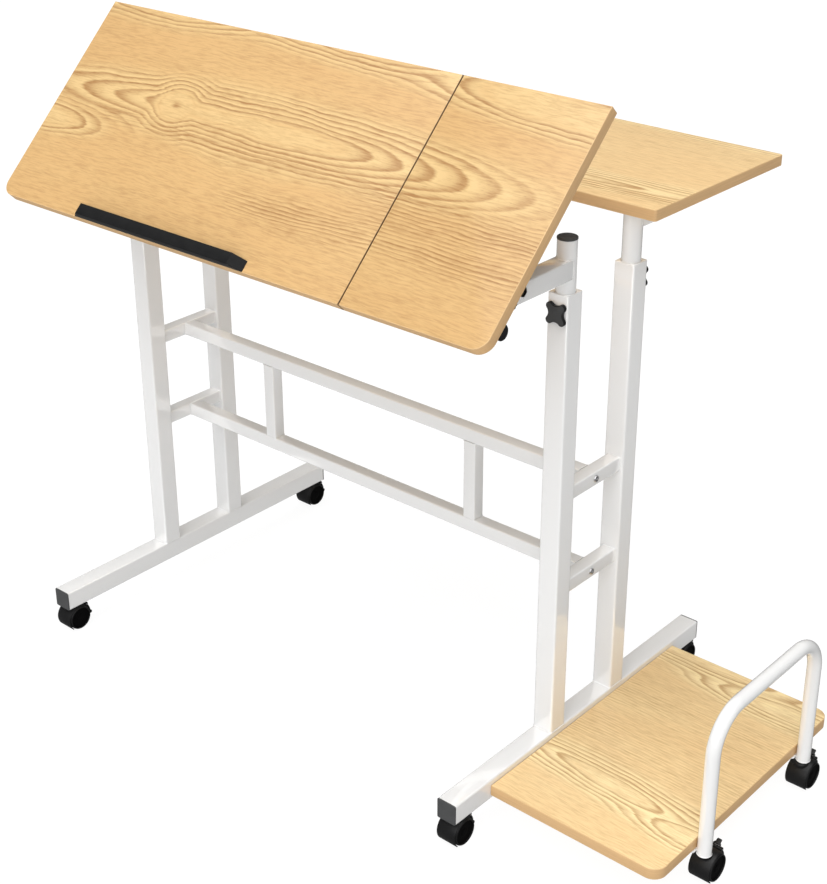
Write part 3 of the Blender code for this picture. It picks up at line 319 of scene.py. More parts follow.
class Value:
    """A socket in a finish, so that shader maths reads as an expression."""

    def __init__(self, finish, socket):
        self.finish, self.socket = finish, socket

    def maths(self, operation, *others, clamp=False):
        """A Math node with this value first."""
        sockets = dict(enumerate((self, *others)))
        settings = {"operation": operation, "use_clamp": clamp}
        return self.finish.node("ShaderNodeMath", settings, sockets)

    def __add__(self, other):
        return self.maths("ADD", other)

    __radd__ = __add__

    def __sub__(self, other):
        return self.maths("SUBTRACT", other)

    def __rsub__(self, other):
        return self.finish.value(other).maths("SUBTRACT", self)

    def __mul__(self, other):
        return self.maths("MULTIPLY", other)

    __rmul__ = __mul__

    def __truediv__(self, other):
        return self.maths("DIVIDE", other)

    def __pow__(self, other):
        return self.maths("POWER", other)

    def __abs__(self):
        return self.maths("ABSOLUTE")

    def clamped(self):
        """The value held between nought and one."""
        return self.maths("ADD", 0.0, clamp=True)

    def between(self, low, high):
        """Nought at low, one at high, with soft ends."""
        settings = {"interpolation_type": "SMOOTHSTEP"}
        sockets = {"Value": self, "From Min": low, "From Max": high}
        return self.finish.node("ShaderNodeMapRange", settings, sockets)


class Finish:
    """A material being mixed."""

    def __init__(self, name):
        self.material = bpy.data.materials.new(name)
        self.material.use_nodes = True
        self.tree = self.material.node_tree
        self.shader = self.tree.nodes["Principled BSDF"]

    def node(self, kind, settings=None, sockets=None, output=0):
        """Add a node: its settings first, then the values or links of its sockets."""
        node = self.tree.nodes.new(kind)
        for name, setting in (settings or {}).items():
            if name == "stops":
                self.set_stops(node.color_ramp, setting)
            else:
                setattr(node, name, setting)
        self.feed(node, sockets or {})
        return Value(self, node.outputs[output])

    def feed(self, node, sockets):
        """Set a node's sockets, by name or number, to numbers, colours or other values."""
        for name, value in sockets.items():
            if isinstance(value, Value):
                self.tree.links.new(value.socket, node.inputs[name])
            else:
                node.inputs[name].default_value = value

    @staticmethod
    def set_stops(ramp, stops):
        """Give a ramp its stops: a position and a grey each."""
        while len(ramp.elements) < len(stops):
            ramp.elements.new(1.0)
        for element, (position, grey) in zip(ramp.elements, stops):
            element.position = position
            element.color = (grey, grey, grey, 1)

    def value(self, number):
        """A number as a node."""
        node = self.tree.nodes.new("ShaderNodeValue")
        node.outputs[0].default_value = number
        return Value(self, node.outputs[0])

    def place(self, turn=(0, 0, 0), shift=(0, 0, 0)):
        """The point of the surface in a frame of its own, turned and then shifted."""
        here = self.node("ShaderNodeTexCoord", output="Object")
        sockets = {"Vector": here, "Rotation": turn, "Location": shift}
        return self.node("ShaderNodeMapping", {}, sockets)

    def split(self, vector):
        """A vector's three numbers."""
        node = self.node("ShaderNodeSeparateXYZ", {}, {0: vector}).socket.node
        return [Value(self, socket) for socket in node.outputs]

    def vector(self, x, y, z):
        """Three numbers as a vector."""
        return self.node("ShaderNodeCombineXYZ", {}, {0: x, 1: y, 2: z})

    def noise(self, vector, scale=1.0, detail=2.0, roughness=0.5):
        """A cloudy pattern about nought, from about -0.5 to 0.5."""
        sockets = {"Vector": vector, "Scale": scale, "Detail": detail, "Roughness": roughness}
        return self.node("ShaderNodeTexNoise", {}, sockets) - 0.5

    def ramp(self, value, stops):
        """Greys laid along a value from nought to one."""
        return self.node("ShaderNodeValToRGB", {"stops": stops}, {"Fac": value})

    def mix(self, share, first, second):
        """The first colour where share is nought, and the second where it is one."""
        sockets = {0: share}
        for number, colour in ((6, first), (7, second)):
            sockets[number] = colour if isinstance(colour, Value) else (*colour, 1)
        return self.node("ShaderNodeMix", {"data_type": "RGBA"}, sockets, output=2)

    def bump(self, height, distance, strength=1.0):
        """A bump from a height, as deep as the distance for a height of one."""
        sockets = {"Height": height, "Distance": distance, "Strength": strength}
        return self.node("ShaderNodeBump", {}, sockets)

    def finished(self, **sockets):
        """Feed the shader and give the material."""
        self.feed(self.shader, {name.replace("_", " ").title(): value
                                for name, value in sockets.items()})
        return self.material


def shade(colour, by):
    """A colour made lighter or darker."""
    return tuple(channel * by for channel in colour)


# How dark a ring line is over its share of the gap: a slow rise, a crest and a sharp fall
RING_LINE = [(0.0, 0.0), (0.20, 0.05), (0.50, 0.38), (0.74, 0.92), (0.86, 1.0), (1.0, 0.0)]


def oak_face(name, look, turn, shift, hearts, threads, seed, tone=(1.0, 1.0, 1.0), knots=(),
             seam=None):
    """Oak print: growth rings about long hearts, fading into plain fibrous grain.

    In the board's frame u runs along the grain and v across it. A heart's reach is the root of
    the squares of v and of u times a stretch, measured from its centre, plus a start; the least
    reach of all hearts, softly joined, carries the rings, and a line stands wherever the reach
    times the ring count is a whole number. Lines show from where the first ring should stand to
    where the heart fades, and the eye inside them is pale. Noise bends v before all this, and
    finer noise shifts u, which feathers the lines' tips.

    Threads are straight lines in a belt that starts at some u. A belt's weight is e to the minus
    square of the distance from its middle over its width. A knot's is e to the minus sum of two
    such squares. Streaks, bands, fibres and pores are noise drawn out along u. The seam between
    two panels is a dark line at one u: partly a dark joint, partly painted shade in the gap.
    """
    oak = Finish(name)
    u, v, _ = oak.split(oak.place(turn, shift))

    def drawn(along, across, layer, detail=2.0, roughness=0.5):
        """Noise at a point given by its three numbers."""
        return oak.noise(oak.vector(along, across, layer), 1.0, detail, roughness)

    bend = drawn(u * 2.8 + seed, v * 7.0, seed)
    ripple = drawn(u * 13.0, v * 30.0 + seed, seed)
    ragged = drawn(u * 85.0, v * 560.0, seed)
    feather = drawn(u * 18.0, v * 380.0, seed + 5.0)
    flow = v + bend * 0.017 + ripple * 0.0075
    bent = flow + ragged * 0.0011

    reach, show = None, None
    for heart_u, heart_v, left, right, start, lean, fade in hearts:
        along = u + feather * 0.012 - heart_u
        stretch = along.between(-0.06, 0.06) * (right - left) + left
        across = bent - heart_v - along * lean
        own = ((along * stretch) ** 2.0 + across ** 2.0) ** 0.5 + start
        near = 1.0 - own.between(fade * 0.72, fade * 1.18)
        reach = own if reach is None else reach.maths("SMOOTH_MIN", own, 0.009)
        show = near if show is None else show.maths("MAXIMUM", near)
    wave = drawn(u * 4.0, v * 14.0, seed + 3.0)
    clouds = drawn(u * 7.0, v * 34.0, seed + 7.0)
    ring = (reach * look.ring_count + wave * 0.9).maths("FRACT")
    show = (show * (1.0 + clouds * 1.5)).clamped() * reach.between(0.0185, 0.0235)
    rings = oak.ramp(ring, RING_LINE) * show

    belts = None
    for thread_u, thread_v, belt, strength in threads:
        drift = (bent - thread_v) / belt
        own = (drift * drift * -1.0).maths("EXPONENT") * (u - thread_u).between(0.0, 0.12) * strength
        belts = own if belts is None else belts + own
    thread = oak.ramp((bent * 190.0 + wave * 1.6 + clouds * 0.5).maths("FRACT"), RING_LINE)
    rings = (rings + thread * belts * (1.0 + clouds * 1.4)).clamped()
    for knot_u, knot_v in knots:
        spot = ((u - knot_u) / 0.008) ** 2.0 + ((bent - knot_v) / 0.0035) ** 2.0
        rings = (rings + (spot * -1.0).maths("EXPONENT") * 0.8).clamped()

    streaks = drawn(u * 40.0 + seed, flow * 430.0, seed, 3.0, 0.6)
    bands = drawn(u * 6.0, flow * 120.0 + seed, seed, 3.0, 0.6)
    fibres = drawn(u * 34.0, v * 950.0 + ripple * 2.0, seed + 2.0, 3.0, 0.7)
    pores = drawn(u * 75.0, v * 900.0, seed, 1.0).between(0.10, 0.24)
    patch = drawn(u * 3.4, v * 13.0, seed + 1.0)

    # Each colour is scaled by the board's tone. The tilting top's tone is painted shade: it darkens that
    # board, which shows less sheen than the flat boards.
    light, plain, grain = (tuple(a * b for a, b in zip(colour, tone))
                           for colour in (look.light, look.plain, look.grain))
    eye = 1.0 - reach.between(0.0160, 0.0225)
    pale = (show * 1.15 + eye * 0.85 + belts * 0.5 + patch * 0.8 + bands * 0.8 + 0.10).clamped()
    dark = streaks * 3.1 + bands * 1.7 + fibres * 0.6 + 0.30 - show * 0.20
    colour = oak.mix((dark.clamped() * 0.50 + rings * 0.80).clamped(), oak.mix(pale, plain, light),
                     grain)
    porous = pores * look.pore_strength * (0.35 + rings + patch * 0.5).clamped()
    colour = oak.mix(porous, colour, shade(grain, 0.80))
    if seam is not None:
        # The seam: a dark line, partly a dark joint and partly painted shade in the gap between the
        # panels.
        colour = oak.mix(1.0 - abs(u - seam).between(0.0004, 0.0011), colour, shade(grain, 0.40))
    return oak.finished(base_color=colour, roughness=0.42 + fibres * 0.14 + rings * 0.05,
                        normal=oak.bump(fibres - pores * 0.8 - rings * 0.4, 0.00006, 0.5))


def oak_edge(name, look, turn, shift, half, seed, seam=None):
    """Edge band: thin layers through the thickness, a painted highlight along the arris at both faces, and
    a seam.
    """
    band = Finish(name)
    u, v, w = band.split(band.place(turn, shift))
    layers = band.noise(band.vector(u * 18.0 + seed, v * 18.0, w * 620.0), 1.0, 3.0, 0.6)
    patch = band.noise(band.vector(u * 9.0, v * 9.0, w * 30.0 + seed), 1.0, 1.0)
    colour = band.mix((layers * 1.6 + 0.45 + patch * 0.7).clamped(), look.edge,
                      shade(look.edge, 0.80))
    # Painted highlight: the edge band is lightened towards the early wood colour near the arris of both
    # faces.
    arris_highlight = abs(w).between(half - 0.0016, half - 0.0002)
    colour = band.mix(arris_highlight * 0.2, colour, look.light)
    if seam is not None:
        # The seam across the edge band: darkened, partly as a joint and partly as painted shade in the
        # gap.
        gap = 1.0 - abs(u - seam).between(0.0008, 0.0026)
        colour = band.mix(gap, colour, shade(look.grain, 0.35))
    return band.finished(base_color=colour, roughness=0.50 + layers * 0.12,
                         normal=band.bump(layers, 0.00005, 0.5))


def coated_steel(look):
    """White powder coat: a faint orange peel, with slow changes of tone and gloss."""
    coat = Finish("white_coat")
    here = coat.place()
    peel = coat.noise(here, 950.0)
    cloud = coat.noise(here, 7.0, 3.0)
    coat.feed(coat.shader, {"Specular IOR Level": 0.9, "IOR": 1.6, "Coat Weight": 1.0,
                            "Coat Roughness": 0.015, "Coat IOR": 1.9})
    colour = coat.mix((cloud * 0.9 + 0.5).clamped(), look.coat, shade(look.coat, 0.965))
    return coat.finished(base_color=colour,
                         roughness=look.coat_roughness + cloud * 0.06 + peel * 0.04,
                         normal=coat.bump(peel, 0.00003, 0.35))


def moulded_plastic(name, colour, roughness, sheen, grain=1700.0):
    """Moulded plastic: a fine spark-eroded grain and a slightly scuffed sheen."""
    plastic = Finish(name)
    here = plastic.place()
    pebble = plastic.noise(here, grain)
    scuff = plastic.noise(here, 60.0, 4.0, 0.65)
    tint = plastic.mix((scuff * 1.4 + 0.4).clamped(), colour, shade(colour, 1.4))
    plastic.feed(plastic.shader, {"Specular IOR Level": sheen})
    return plastic.finished(base_color=tint, roughness=roughness + scuff * 0.16 + pebble * 0.08,
                            normal=plastic.bump(pebble, 0.00004, 0.5))


def plated_steel(look):
    """Zinc plate: bright metal with a cloudy spangle and fine tool marks."""
    zinc = Finish("zinc_plate")
    here = zinc.place()
    spangle = zinc.noise(here, 420.0, 3.0)
    marks = zinc.noise(here, 2600.0, 1.0)
    colour = zinc.mix((spangle + 0.5).clamped(), look.zinc, shade(look.zinc, 0.72))
    return zinc.finished(base_color=colour, metallic=1.0, roughness=0.34 + spangle * 0.2,
                         normal=zinc.bump(marks, 0.00002, 0.4))


# Finishes by name. The oak ones are added when the boards are made.
FINISHES = {}


def finish_named(name):
    """A finish that several pieces share, mixed when it is first asked for."""
    if name not in FINISHES:
        steel, plastic = bpy.context.scene.table_steel, bpy.context.scene.table_plastic
        FINISHES[name] = {
            "white": lambda: coated_steel(steel),
            "zinc": lambda: plated_steel(steel),
            "black": lambda: moulded_plastic("black_moulding", plastic.black, plastic.gloss, 0.22),
            # A darker, duller black for the wheels' sunk discs: partly the discs' own matt black, partly
            # painted shade of the hollow they sit in.
            "recess": lambda: moulded_plastic("black_recess", shade(plastic.black, 0.3), 0.6, 0.05, 900.0),
            # Painted light: a lighter grey-black for the star knobs' flat faces, so that they read lit
            # beside the shaded black sides.
            "knob_face": lambda: moulded_plastic("black_knob_face", shade(plastic.grey, 0.85), 0.5, 0.2),
            "grey": lambda: moulded_plastic("grey_moulding", plastic.grey, 0.5, 0.3),
        }[name]()
    return FINISHES[name]


# What a user would change

def colour_property(name, description, default):
    """A colour without alpha, in linear light."""
    return FloatVectorProperty(name=name, description=description, default=default, size=3,
                               subtype="COLOR", min=0.0, max=1.0)


def length_property(name, description, default):
    """A length in metres."""
    return FloatProperty(name=name, description=description, default=default, min=0.0,
                         unit="LENGTH", subtype="DISTANCE")


def amount_property(name, description, default, low=0.0):
    """A number with no upper limit."""
    return FloatProperty(name=name, description=description, default=default, min=low)


def share_property(name, description, default):
    """A number from nought to one."""
    return FloatProperty(name=name, description=description, default=default, min=0.0, max=1.0,
                         subtype="FACTOR")


class TableOak(bpy.types.PropertyGroup):
    """Sizes and colours of the oak boards"""

    arris_radius: length_property("Arris radius", "Round along the boards' edges", 0.0008)
    plain: colour_property("Ground", "Colour of the plain grain", (0.80, 0.555, 0.275))
    light: colour_property("Early wood", "Colour of the figure's pale bands", (0.90, 0.70, 0.375))
    grain: colour_property("Grain lines", "Colour of ring lines and pores", (0.47, 0.265, 0.105))
    edge: colour_property("Edge band", "Colour of the boards' edges", (0.66, 0.415, 0.195))
    # Painted shade: the tilting top keeps these shares of its colours, darker than the flat boards, which
    # show more sheen.
    front_painted_shade: colour_property("Front top tone", "Share of each colour that the tilting top keeps",
                                (0.745, 0.672, 0.580))
    ring_count: amount_property("Rings per metre", "How close the growth rings stand", 155.0, 10.0)
    pore_strength: share_property("Pores", "How dark the pores are", 0.55)


class TableSteel(bpy.types.PropertyGroup):
    """Sizes and colours of the steel"""

    tube_corner: length_property("Tube corner", "Corner radius of thick square tube", 0.0024)
    light_corner: length_property("Light tube corner", "Corner radius of thin square tube", 0.0020)
    bead_radius: length_property("Weld bead", "Radius of the weld beads", 0.0009)
    bolt_radius: length_property("Bolt head", "Radius of the rail bolts' heads", 0.0045)
    coat: colour_property("Powder coat", "Colour of the coated steel", (0.89, 0.89, 0.885))
    zinc: colour_property("Zinc", "Colour of bolts and pins", (0.62, 0.62, 0.63))
    coat_roughness: share_property("Coat roughness", "How matt the powder coat is", 0.12)


class TablePlastic(bpy.types.PropertyGroup):
    """Sizes and colours of the plastic fittings"""

    edge_radius: length_property("Edge radius", "Round along the edges of mouldings", 0.0009)
    lobe_radius: length_property("Knob lobe", "Radius of a star knob's lobes", 0.0049)
    black: colour_property("Black", "Colour of knobs and casters", (0.0075, 0.0075, 0.0078))
    grey: colour_property("Dark grey", "Colour of the end caps", (0.052, 0.053, 0.054))
    gloss: share_property("Roughness", "How matt the black mouldings are", 0.40)


class TableStage(bpy.types.PropertyGroup):
    """Floor, light and camera"""

    floor: colour_property("Floor", "Colour of the floor", (0.08, 0.08, 0.08))
    floor_glow: amount_property("Floor glow", "Light that the floor gives of itself", 0.94)
    sky_strength: amount_property("Sky", "Strength of the light all round", 0.19)
    key_strength: amount_property("Key light", "Strength of the soft light from above", 2.95)
    fill_strength: amount_property("Fill light", "Strength of the soft light from the front", 1.65)
    lens: amount_property("Lens", "The camera's focal length in millimetres", 67.5225, 1.0)


# The stage

FLOOR_HALF = 30.0
SUN_SPREAD = math.radians(60.0)
KEY_TURN, FILL_TURN = (8.0, 0.0, 0.0), (60.0, 0.0, 18.0)    # down from overhead, and to the side
CAMERA_PLACE = (1.3348, -1.60694, 1.42841)
CAMERA_TURN = (64.3077, 0.0, 40.6283)
CAMERA_SHIFT = (-0.015835, -0.034494)
CAMERA_REACH = (0.05, 120.0)


class TABLE_OT_stage(bpy.types.Operator):
    """Lay the floor, hang the lights and set up the camera"""

    bl_idname = "laptop_table.stage"
    bl_label = "Stage"

    def execute(self, context):
        scene, look = context.scene, context.scene.table_stage
        scene.view_settings.view_transform = "Standard"
        self.lay_floor(scene, look)
        self.hang_lights(scene, look)
        self.set_camera(scene, look)
        return {"FINISHED"}

    @staticmethod
    def lay_floor(scene, look):
        """A floor, and four walls far off that only the camera sees."""
        paint = Finish("pale_floor")
        cloud = paint.noise(paint.place(), 1.4)
        colour = paint.mix((cloud + 0.5).clamped(), look.floor, shade(look.floor, 0.992))
        paint.finished(base_color=colour, roughness=0.85 + cloud * 0.1)
        paint.feed(paint.shader, {"Emission Color": (1, 1, 1, 1), "Specular IOR Level": 0.1,
                                  "Emission Strength": look.floor_glow})
        corners = ((-1, -1), (1, -1), (1, 1), (-1, 1))
        low, high = ([(x * FLOOR_HALF, y * FLOOR_HALF, z) for x, y in corners]
                     for z in (0.0, FLOOR_HALF))
        walls = [(i, i + 4, (i + 1) % 4 + 4, (i + 1) % 4) for i in range(4)]
        for name, points, faces in (("floor", low, [(0, 1, 2, 3)]), ("backdrop", low + high, walls)):
            mesh = bpy.data.meshes.new(name)
            mesh.from_pydata(points, [], faces)
            mesh.materials.append(paint.material)
            ground = bpy.data.objects.new(name, mesh)
            ground.visible_glossy = False
            ground.visible_diffuse = ground.visible_shadow = name == "floor"
            scene.collection.objects.link(ground)

    @staticmethod
    def hang_lights(scene, look):
        """An even white sky and two soft suns."""
        world = bpy.data.worlds.new("studio")
        scene.world = world
        world.use_nodes = True
        sky = world.node_tree.nodes["Background"]
        sky.inputs["Color"].default_value = (1, 1, 1, 1)
        sky.inputs["Strength"].default_value = look.sky_strength
        for name, strength, turn in (("key", look.key_strength, KEY_TURN),
                                     ("fill", look.fill_strength, FILL_TURN)):
            light = bpy.data.lights.new(name, "SUN")
            light.energy = strength
            light.angle = SUN_SPREAD
            lamp = bpy.data.objects.new(name, light)
            lamp.rotation_euler = radians(turn)
            scene.collection.objects.link(lamp)

    @staticmethod
    def set_camera(scene, look):
        """The photograph's view."""
        lens = bpy.data.cameras.new("camera")
        lens.lens = look.lens
        lens.sensor_width = 36.0
        lens.shift_x, lens.shift_y = CAMERA_SHIFT
        lens.clip_start, lens.clip_end = CAMERA_REACH
        camera = bpy.data.objects.new("camera", lens)
        camera.location = CAMERA_PLACE
        camera.rotation_euler = radians(CAMERA_TURN)
        scene.collection.objects.link(camera)
        scene.camera = camera


# Boards. A heart is its place along the grain and across it, its stretch on the left and on the
# right, its start, its lean, and the reach at which it fades. A thread is where it starts along
# the grain, where it lies across it, its belt's width and its strength.

FRONT_HEARTS = (
    (0.0, 0.186, 0.127, 0.127, 0.007, 0.0, 0.062), (-0.11, 0.187, 0.095, 0.127, 0.0115, 0.0, 0.055),
    (-0.205, 0.187, 0.62, 0.62, 0.0, 0.0, 0.045), (-0.44, 0.129, 0.30, 0.20, 0.006, 0.0, 0.034),
    (-0.31, 0.336, 0.17, 0.17, 0.0, 0.0, 0.041), (0.02, 0.343, 0.13, 0.13, 0.0, -0.05, 0.048),
    (0.37, 0.302, 0.15, 0.15, 0.002, -0.05, 0.042))
FRONT_THREADS = ((-0.10, 0.088, 0.022, 0.85), (-0.42, 0.150, 0.012, 0.40), (0.10, 0.128, 0.018, 0.8))
FRONT_KNOTS = ((-0.205, 0.186),)
REAR_HEARTS = (
    (0.12, 0.050, 0.045, 0.045, 0.014, 0.03, 0.050), (-0.20, 0.170, 0.12, 0.12, 0.006, 0.0, 0.055),
    (0.28, 0.330, 0.12, 0.12, 0.0, -0.02, 0.045))
REAR_THREADS = ((0.0, 0.035, 0.018, 0.55), (-0.1, 0.260, 0.030, 0.35))
SHELF_HEARTS = (
    (0.115, 0.103, 0.17, 0.17, 0.010, -0.05, 0.052), (0.262, 0.080, 0.26, 0.26, 0.008, 0.0, 0.040),
    (0.215, 0.386, 0.22, 0.22, 0.008, 0.0, 0.048), (0.02, 0.430, 0.16, 0.16, 0.0, -0.04, 0.048))
SHELF_THREADS = ((-0.2, 0.180, 0.050, 0.38), (-0.2, 0.290, 0.040, 0.36))
SHELF_TONE = (0.99, 1.02, 1.05)


def corner_arc(x, y, radius, quarter):
    """A quarter circle about a corner's centre, from so many quarter turns on."""
    return arc((x, y), radius, quarter * math.pi / 2, (quarter + 1) * math.pi / 2, 16)


class TABLE_OT_boards(bpy.types.Operator):
    """Make the two panels of the tilting top, the rear top and the side shelf"""

    bl_idname = "laptop_table.boards"
    bl_label = "Boards"

    def execute(self, context):
        look = context.scene.table_oak
        self.make_front(look)
        self.make_rear(look)
        self.make_shelf(look)
        return {"FINISHED"}

    @staticmethod
    def print_oak(name, look, turn, shift, thick, hearts, threads, seed, **more):
        """Mix a board's face and edge band, and give their names."""
        face, edge = f"oak_{name}_face", f"oak_{name}_edge"
        FINISHES[face] = oak_face(face, look, turn, shift, hearts, threads, seed, **more)
        FINISHES[edge] = oak_edge(edge, look, turn, shift, thick / 2, seed, more.get("seam"))
        return f"{face} {edge}"

    @staticmethod
    def board(name, body, node, outline, low, high, place, finishes, look):
        """A board between two heights of its frame; its two faces take the first finish."""
        form = Form().add(slab(outline, low, high, look.arris_radius), place, slot=1, end_slot=0)
        form.piece(name, body, OAK, finishes, node)

    def make_front(self, look):
        """Both panels lie in the tilted frame, and one print runs over their seam."""
        left, left_high, _, _ = box("front_panel_left", TILTED)
        right, right_high, _, _ = box("front_panel_right", TILTED)
        front, rear, low, high = left[1], left_high[1], left[2], left_high[2]
        centre = (box("foot_cap_front_left")[0][0] + box("foot_cap_front_right")[1][0]) / 2
        pivot = TILTED.inverted().translation
        shift = (-centre, pivot.y - front, pivot.z - (low + high) / 2)
        seam = (left_high[0] + right[0]) / 2 + TILTED.translation.x - centre
        # The tilting top takes its painted shade as its tone.
        finishes = self.print_oak("front", look, (-TILT_AT_REST, 0, 0), shift, high - low,
                                  FRONT_HEARTS, FRONT_THREADS, 2.0, tone=look.front_painted_shade,
                                  knots=FRONT_KNOTS, seam=seam)
        corner = 0.020
        outline = np.vstack((corner_arc(left[0] + corner, front + corner, corner, 2),
                             [(left_high[0], front), (left_high[0], rear), (left[0], rear)]))
        self.board("board_front_left", "tilt_top", "front_panel_left", outline, low, high, TILTED,
                   finishes, look)
        outline = np.vstack(([(right[0], front)],
                             corner_arc(right_high[0] - corner, front + corner, corner, 3),
                             [(right_high[0], rear), (right[0], rear)]))
        self.board("board_front_right", "tilt_top", "front_panel_right", outline, low, high, TILTED,
                   finishes, look)

    def make_rear(self, look):
        """The rear top, flat on the rear posts' arms."""
        low, high, centre, size = box("rear_top")
        finishes = self.print_oak("rear", look, (0, 0, 0), (-centre[0], -low[1], -centre[2]),
                                  size[2], REAR_HEARTS, REAR_THREADS, 9.0)
        self.board("board_rear", "rear_lift", "rear_top", round_box(size[0], size[1], 0.004, 6),
                   low[2], high[2], at(centre[0], centre[1], 0), finishes, look)

    def make_shelf(self, look):
        """The side shelf, with round corners at its outer side."""
        low, high, centre, size = box("side_shelf")
        finishes = self.print_oak("shelf", look, (0, 0, 0), (-low[0], -low[1], -centre[2]), size[2],
                                  SHELF_HEARTS, SHELF_THREADS, 5.0, tone=SHELF_TONE)
        corner = 0.019
        outline = np.vstack(([(low[0], high[1]), (low[0], low[1])],
                             corner_arc(high[0] - corner, low[1] + corner, corner, -1),
                             corner_arc(high[0] - corner, high[1] - corner, corner, 0)))
        self.board("board_shelf", "frame", "side_shelf", outline, low[2], high[2], None, finishes,
                   look)


# Steel

# A lug's length, and how far its middle lies past the side of the tube that bears it
FOOT_LUG, GUARD_LUG = (0.0255, 0.0112), (0.0250, -0.0115)
LUG_THICK, LUG_WIDE, LUG_CORNER = 0.003, 0.026, 0.004
LUG_INSET = 0.090       # from the shelf's ends to the middle of a foot lug
ARM_DROP = 0.0048       # from the tilt's pivot down to the middle of the arms
ARM_START = 0.004       # from a post's axis to where its arm begins, inside the post
REAR_ARM_TALL = 0.0185
BORE, GUIDE_DEPTH = 0.0128, 0.040       # the round guide in an upright's top


def tube_along(form, turn, centre, size, corner, start, stop):
    """A square tube from start to stop along the turned Z axis, with its ends slightly eased."""
    form.add(slab(round_box(size, size, corner), start, stop, EASE, 1), at(*centre) @ turn)


def bead_square(form, centre, size, radius, turn=Matrix()):
    """A weld bead round a square tube's foot: a thin hoop along the tube's outline."""
    loop = ring_at(round_box(size, size, size * 0.08, 4, 6))
    form.add(hooped(loop, radius, np.zeros(3)), at(*centre) @ turn, closed=True)


def saddle_bead(form, centre, radius, height, way, look):
    """A bead where a square arm meets a round post: the arm's outline laid on the cylinder.

    Its depth is the root of the radius squared less x squared. It lies flush below, so that the
    post can sink until its arm meets the upright.
    """
    lift = look.bead_radius * 1.1
    outline = round_box(radius * 2 * 0.985, height - lift * 2, look.light_corner, 4, 8)
    depth = np.sqrt(np.maximum(radius ** 2 - outline[:, 0] ** 2, 0.0))
    loop = np.column_stack((outline[:, 0], way * depth, outline[:, 1] + lift))
    inner = loop * (0, 1, 0)
    form.add(hooped(loop[::-1], look.bead_radius, inner[::-1]), at(*centre), closed=True)


def add_lug(form, lug, x, y):
    """A flat lug under the shelf, beside a tube whose side is at x."""
    long, past = lug
    plate = slab(round_box(long, LUG_WIDE, LUG_CORNER), 0.0, LUG_THICK, EASE, 1)
    form.add(plate, at(x + past, y, box("side_shelf")[0][2] - SEAT_GAP - LUG_THICK))


def bolt_head(radius, height):
    """A domed head with a hexagon socket: circles that shrink up the dome, then hexagons down."""
    dome = ((1.0, 0.0), (1.0, 0.35), (0.94, 0.68), (0.80, 0.90), (0.62, 1.0))
    rings = [ring_at(circle(radius * wide, SMALL_STEPS), height * tall) for wide, tall in dome]
    socket = hexagon(radius * 0.42)
    return np.stack(rings + [ring_at(socket, height * tall) for tall in (0.98, 0.40)])


class TABLE_OT_feet(bpy.types.Operator):
    """Make the foot bars with their welds, shelf lugs and end caps"""

    bl_idname = "laptop_table.feet"
    bl_label = "Feet"

    def execute(self, context):
        look = context.scene.table_steel
        shelf_low, shelf_high, _, _ = box("side_shelf")
        for label, side in SIDES:
            x, _, z = box(f"foot_cap_front_{label}")[2]
            low, high, _, size = box(f"foot_bar_{label}")
            width = size[2]
            form = Form()
            tube_along(form, ALONG_Y, (x, 0, z), width, look.tube_corner, low[1], high[1])
            for row, _ in ROWS:
                y = box(f"upright_{row}_{label}")[2][1]
                bead_square(form, (x, y, high[2] + look.bead_radius * 0.2), width, look.bead_radius)
            if side > 0:
                for y in (shelf_low[1] + LUG_INSET, shelf_high[1] - LUG_INSET):
                    add_lug(form, FOOT_LUG, x + width / 2, y)
            form.piece(f"foot_tube_{label}", "frame", COAT, "white", f"foot_bar_{label}")
            for row, sign in ROWS:
                self.make_cap(row, label, sign, width)
        return {"FINISHED"}

    def make_cap(self, row, label, sign, width):
        """A square cap: a flange with eased edges, a raised rim and a slightly sunk face."""
        node = f"foot_cap_{row}_{label}"
        low, high, centre, _ = box(node)
        face = low[1] if sign < 0 else high[1]
        thick = 0.0017
        levels = ((-0.004, 0.002), (0.0, 0.002), (0.0, 0.0), (thick - 0.0006, 0.0),
                  (thick - 0.0002, 0.0002), (thick, 0.0006), (thick, 0.0015), (thick - 0.0003, 0.0018))
        form = Form().add(lofted(round_box(width, width, 0.0022), levels),
                          at(centre[0], face - sign * thick, centre[2]) @ facing(sign))
        form.piece(f"foot_end_{row}_{label}", "frame", GREY, "grey", node, sharp=28.0)


class TABLE_OT_uprights(bpy.types.Operator):
    """Make the four uprights, with their tops closed round the lifting posts"""

    bl_idname = "laptop_table.uprights"
    bl_label = "Uprights"

    def execute(self, context):
        look = context.scene.table_steel
        for row, _ in ROWS:
            for label, _ in SIDES:
                node = f"upright_{row}_{label}"
                low, high, centre, size = box(node)
                form = Form().add(self.sleeve(size[0], low[2], high[2], look.tube_corner),
                                  at(centre[0], centre[1], 0), closed=True)
                form.piece(f"upright_tube_{row}_{label}", "frame", COAT, "white", node)
        return {"FINISHED"}

    @staticmethod
    def sleeve(width, low, high, corner):
        """Outside rings of a square tube that turn in at the top to a round bore, and back down."""
        outline = round_box(width, width, corner, 5, 9)
        bore = polar(BORE, np.arctan2(outline[:, 1], outline[:, 0]))
        square = outline * (width - 0.003) / width
        return np.stack([ring_at(ring, height) for ring, height in (
            (outline, low), (outline, high - 0.0005), (inset(outline, 0.0002), high - 0.00015),
            (inset(outline, 0.0006), high), (bore * 1.025, high), (bore, high - 0.0004),
            (bore, high - GUIDE_DEPTH), (square, high - GUIDE_DEPTH), (square, low))])


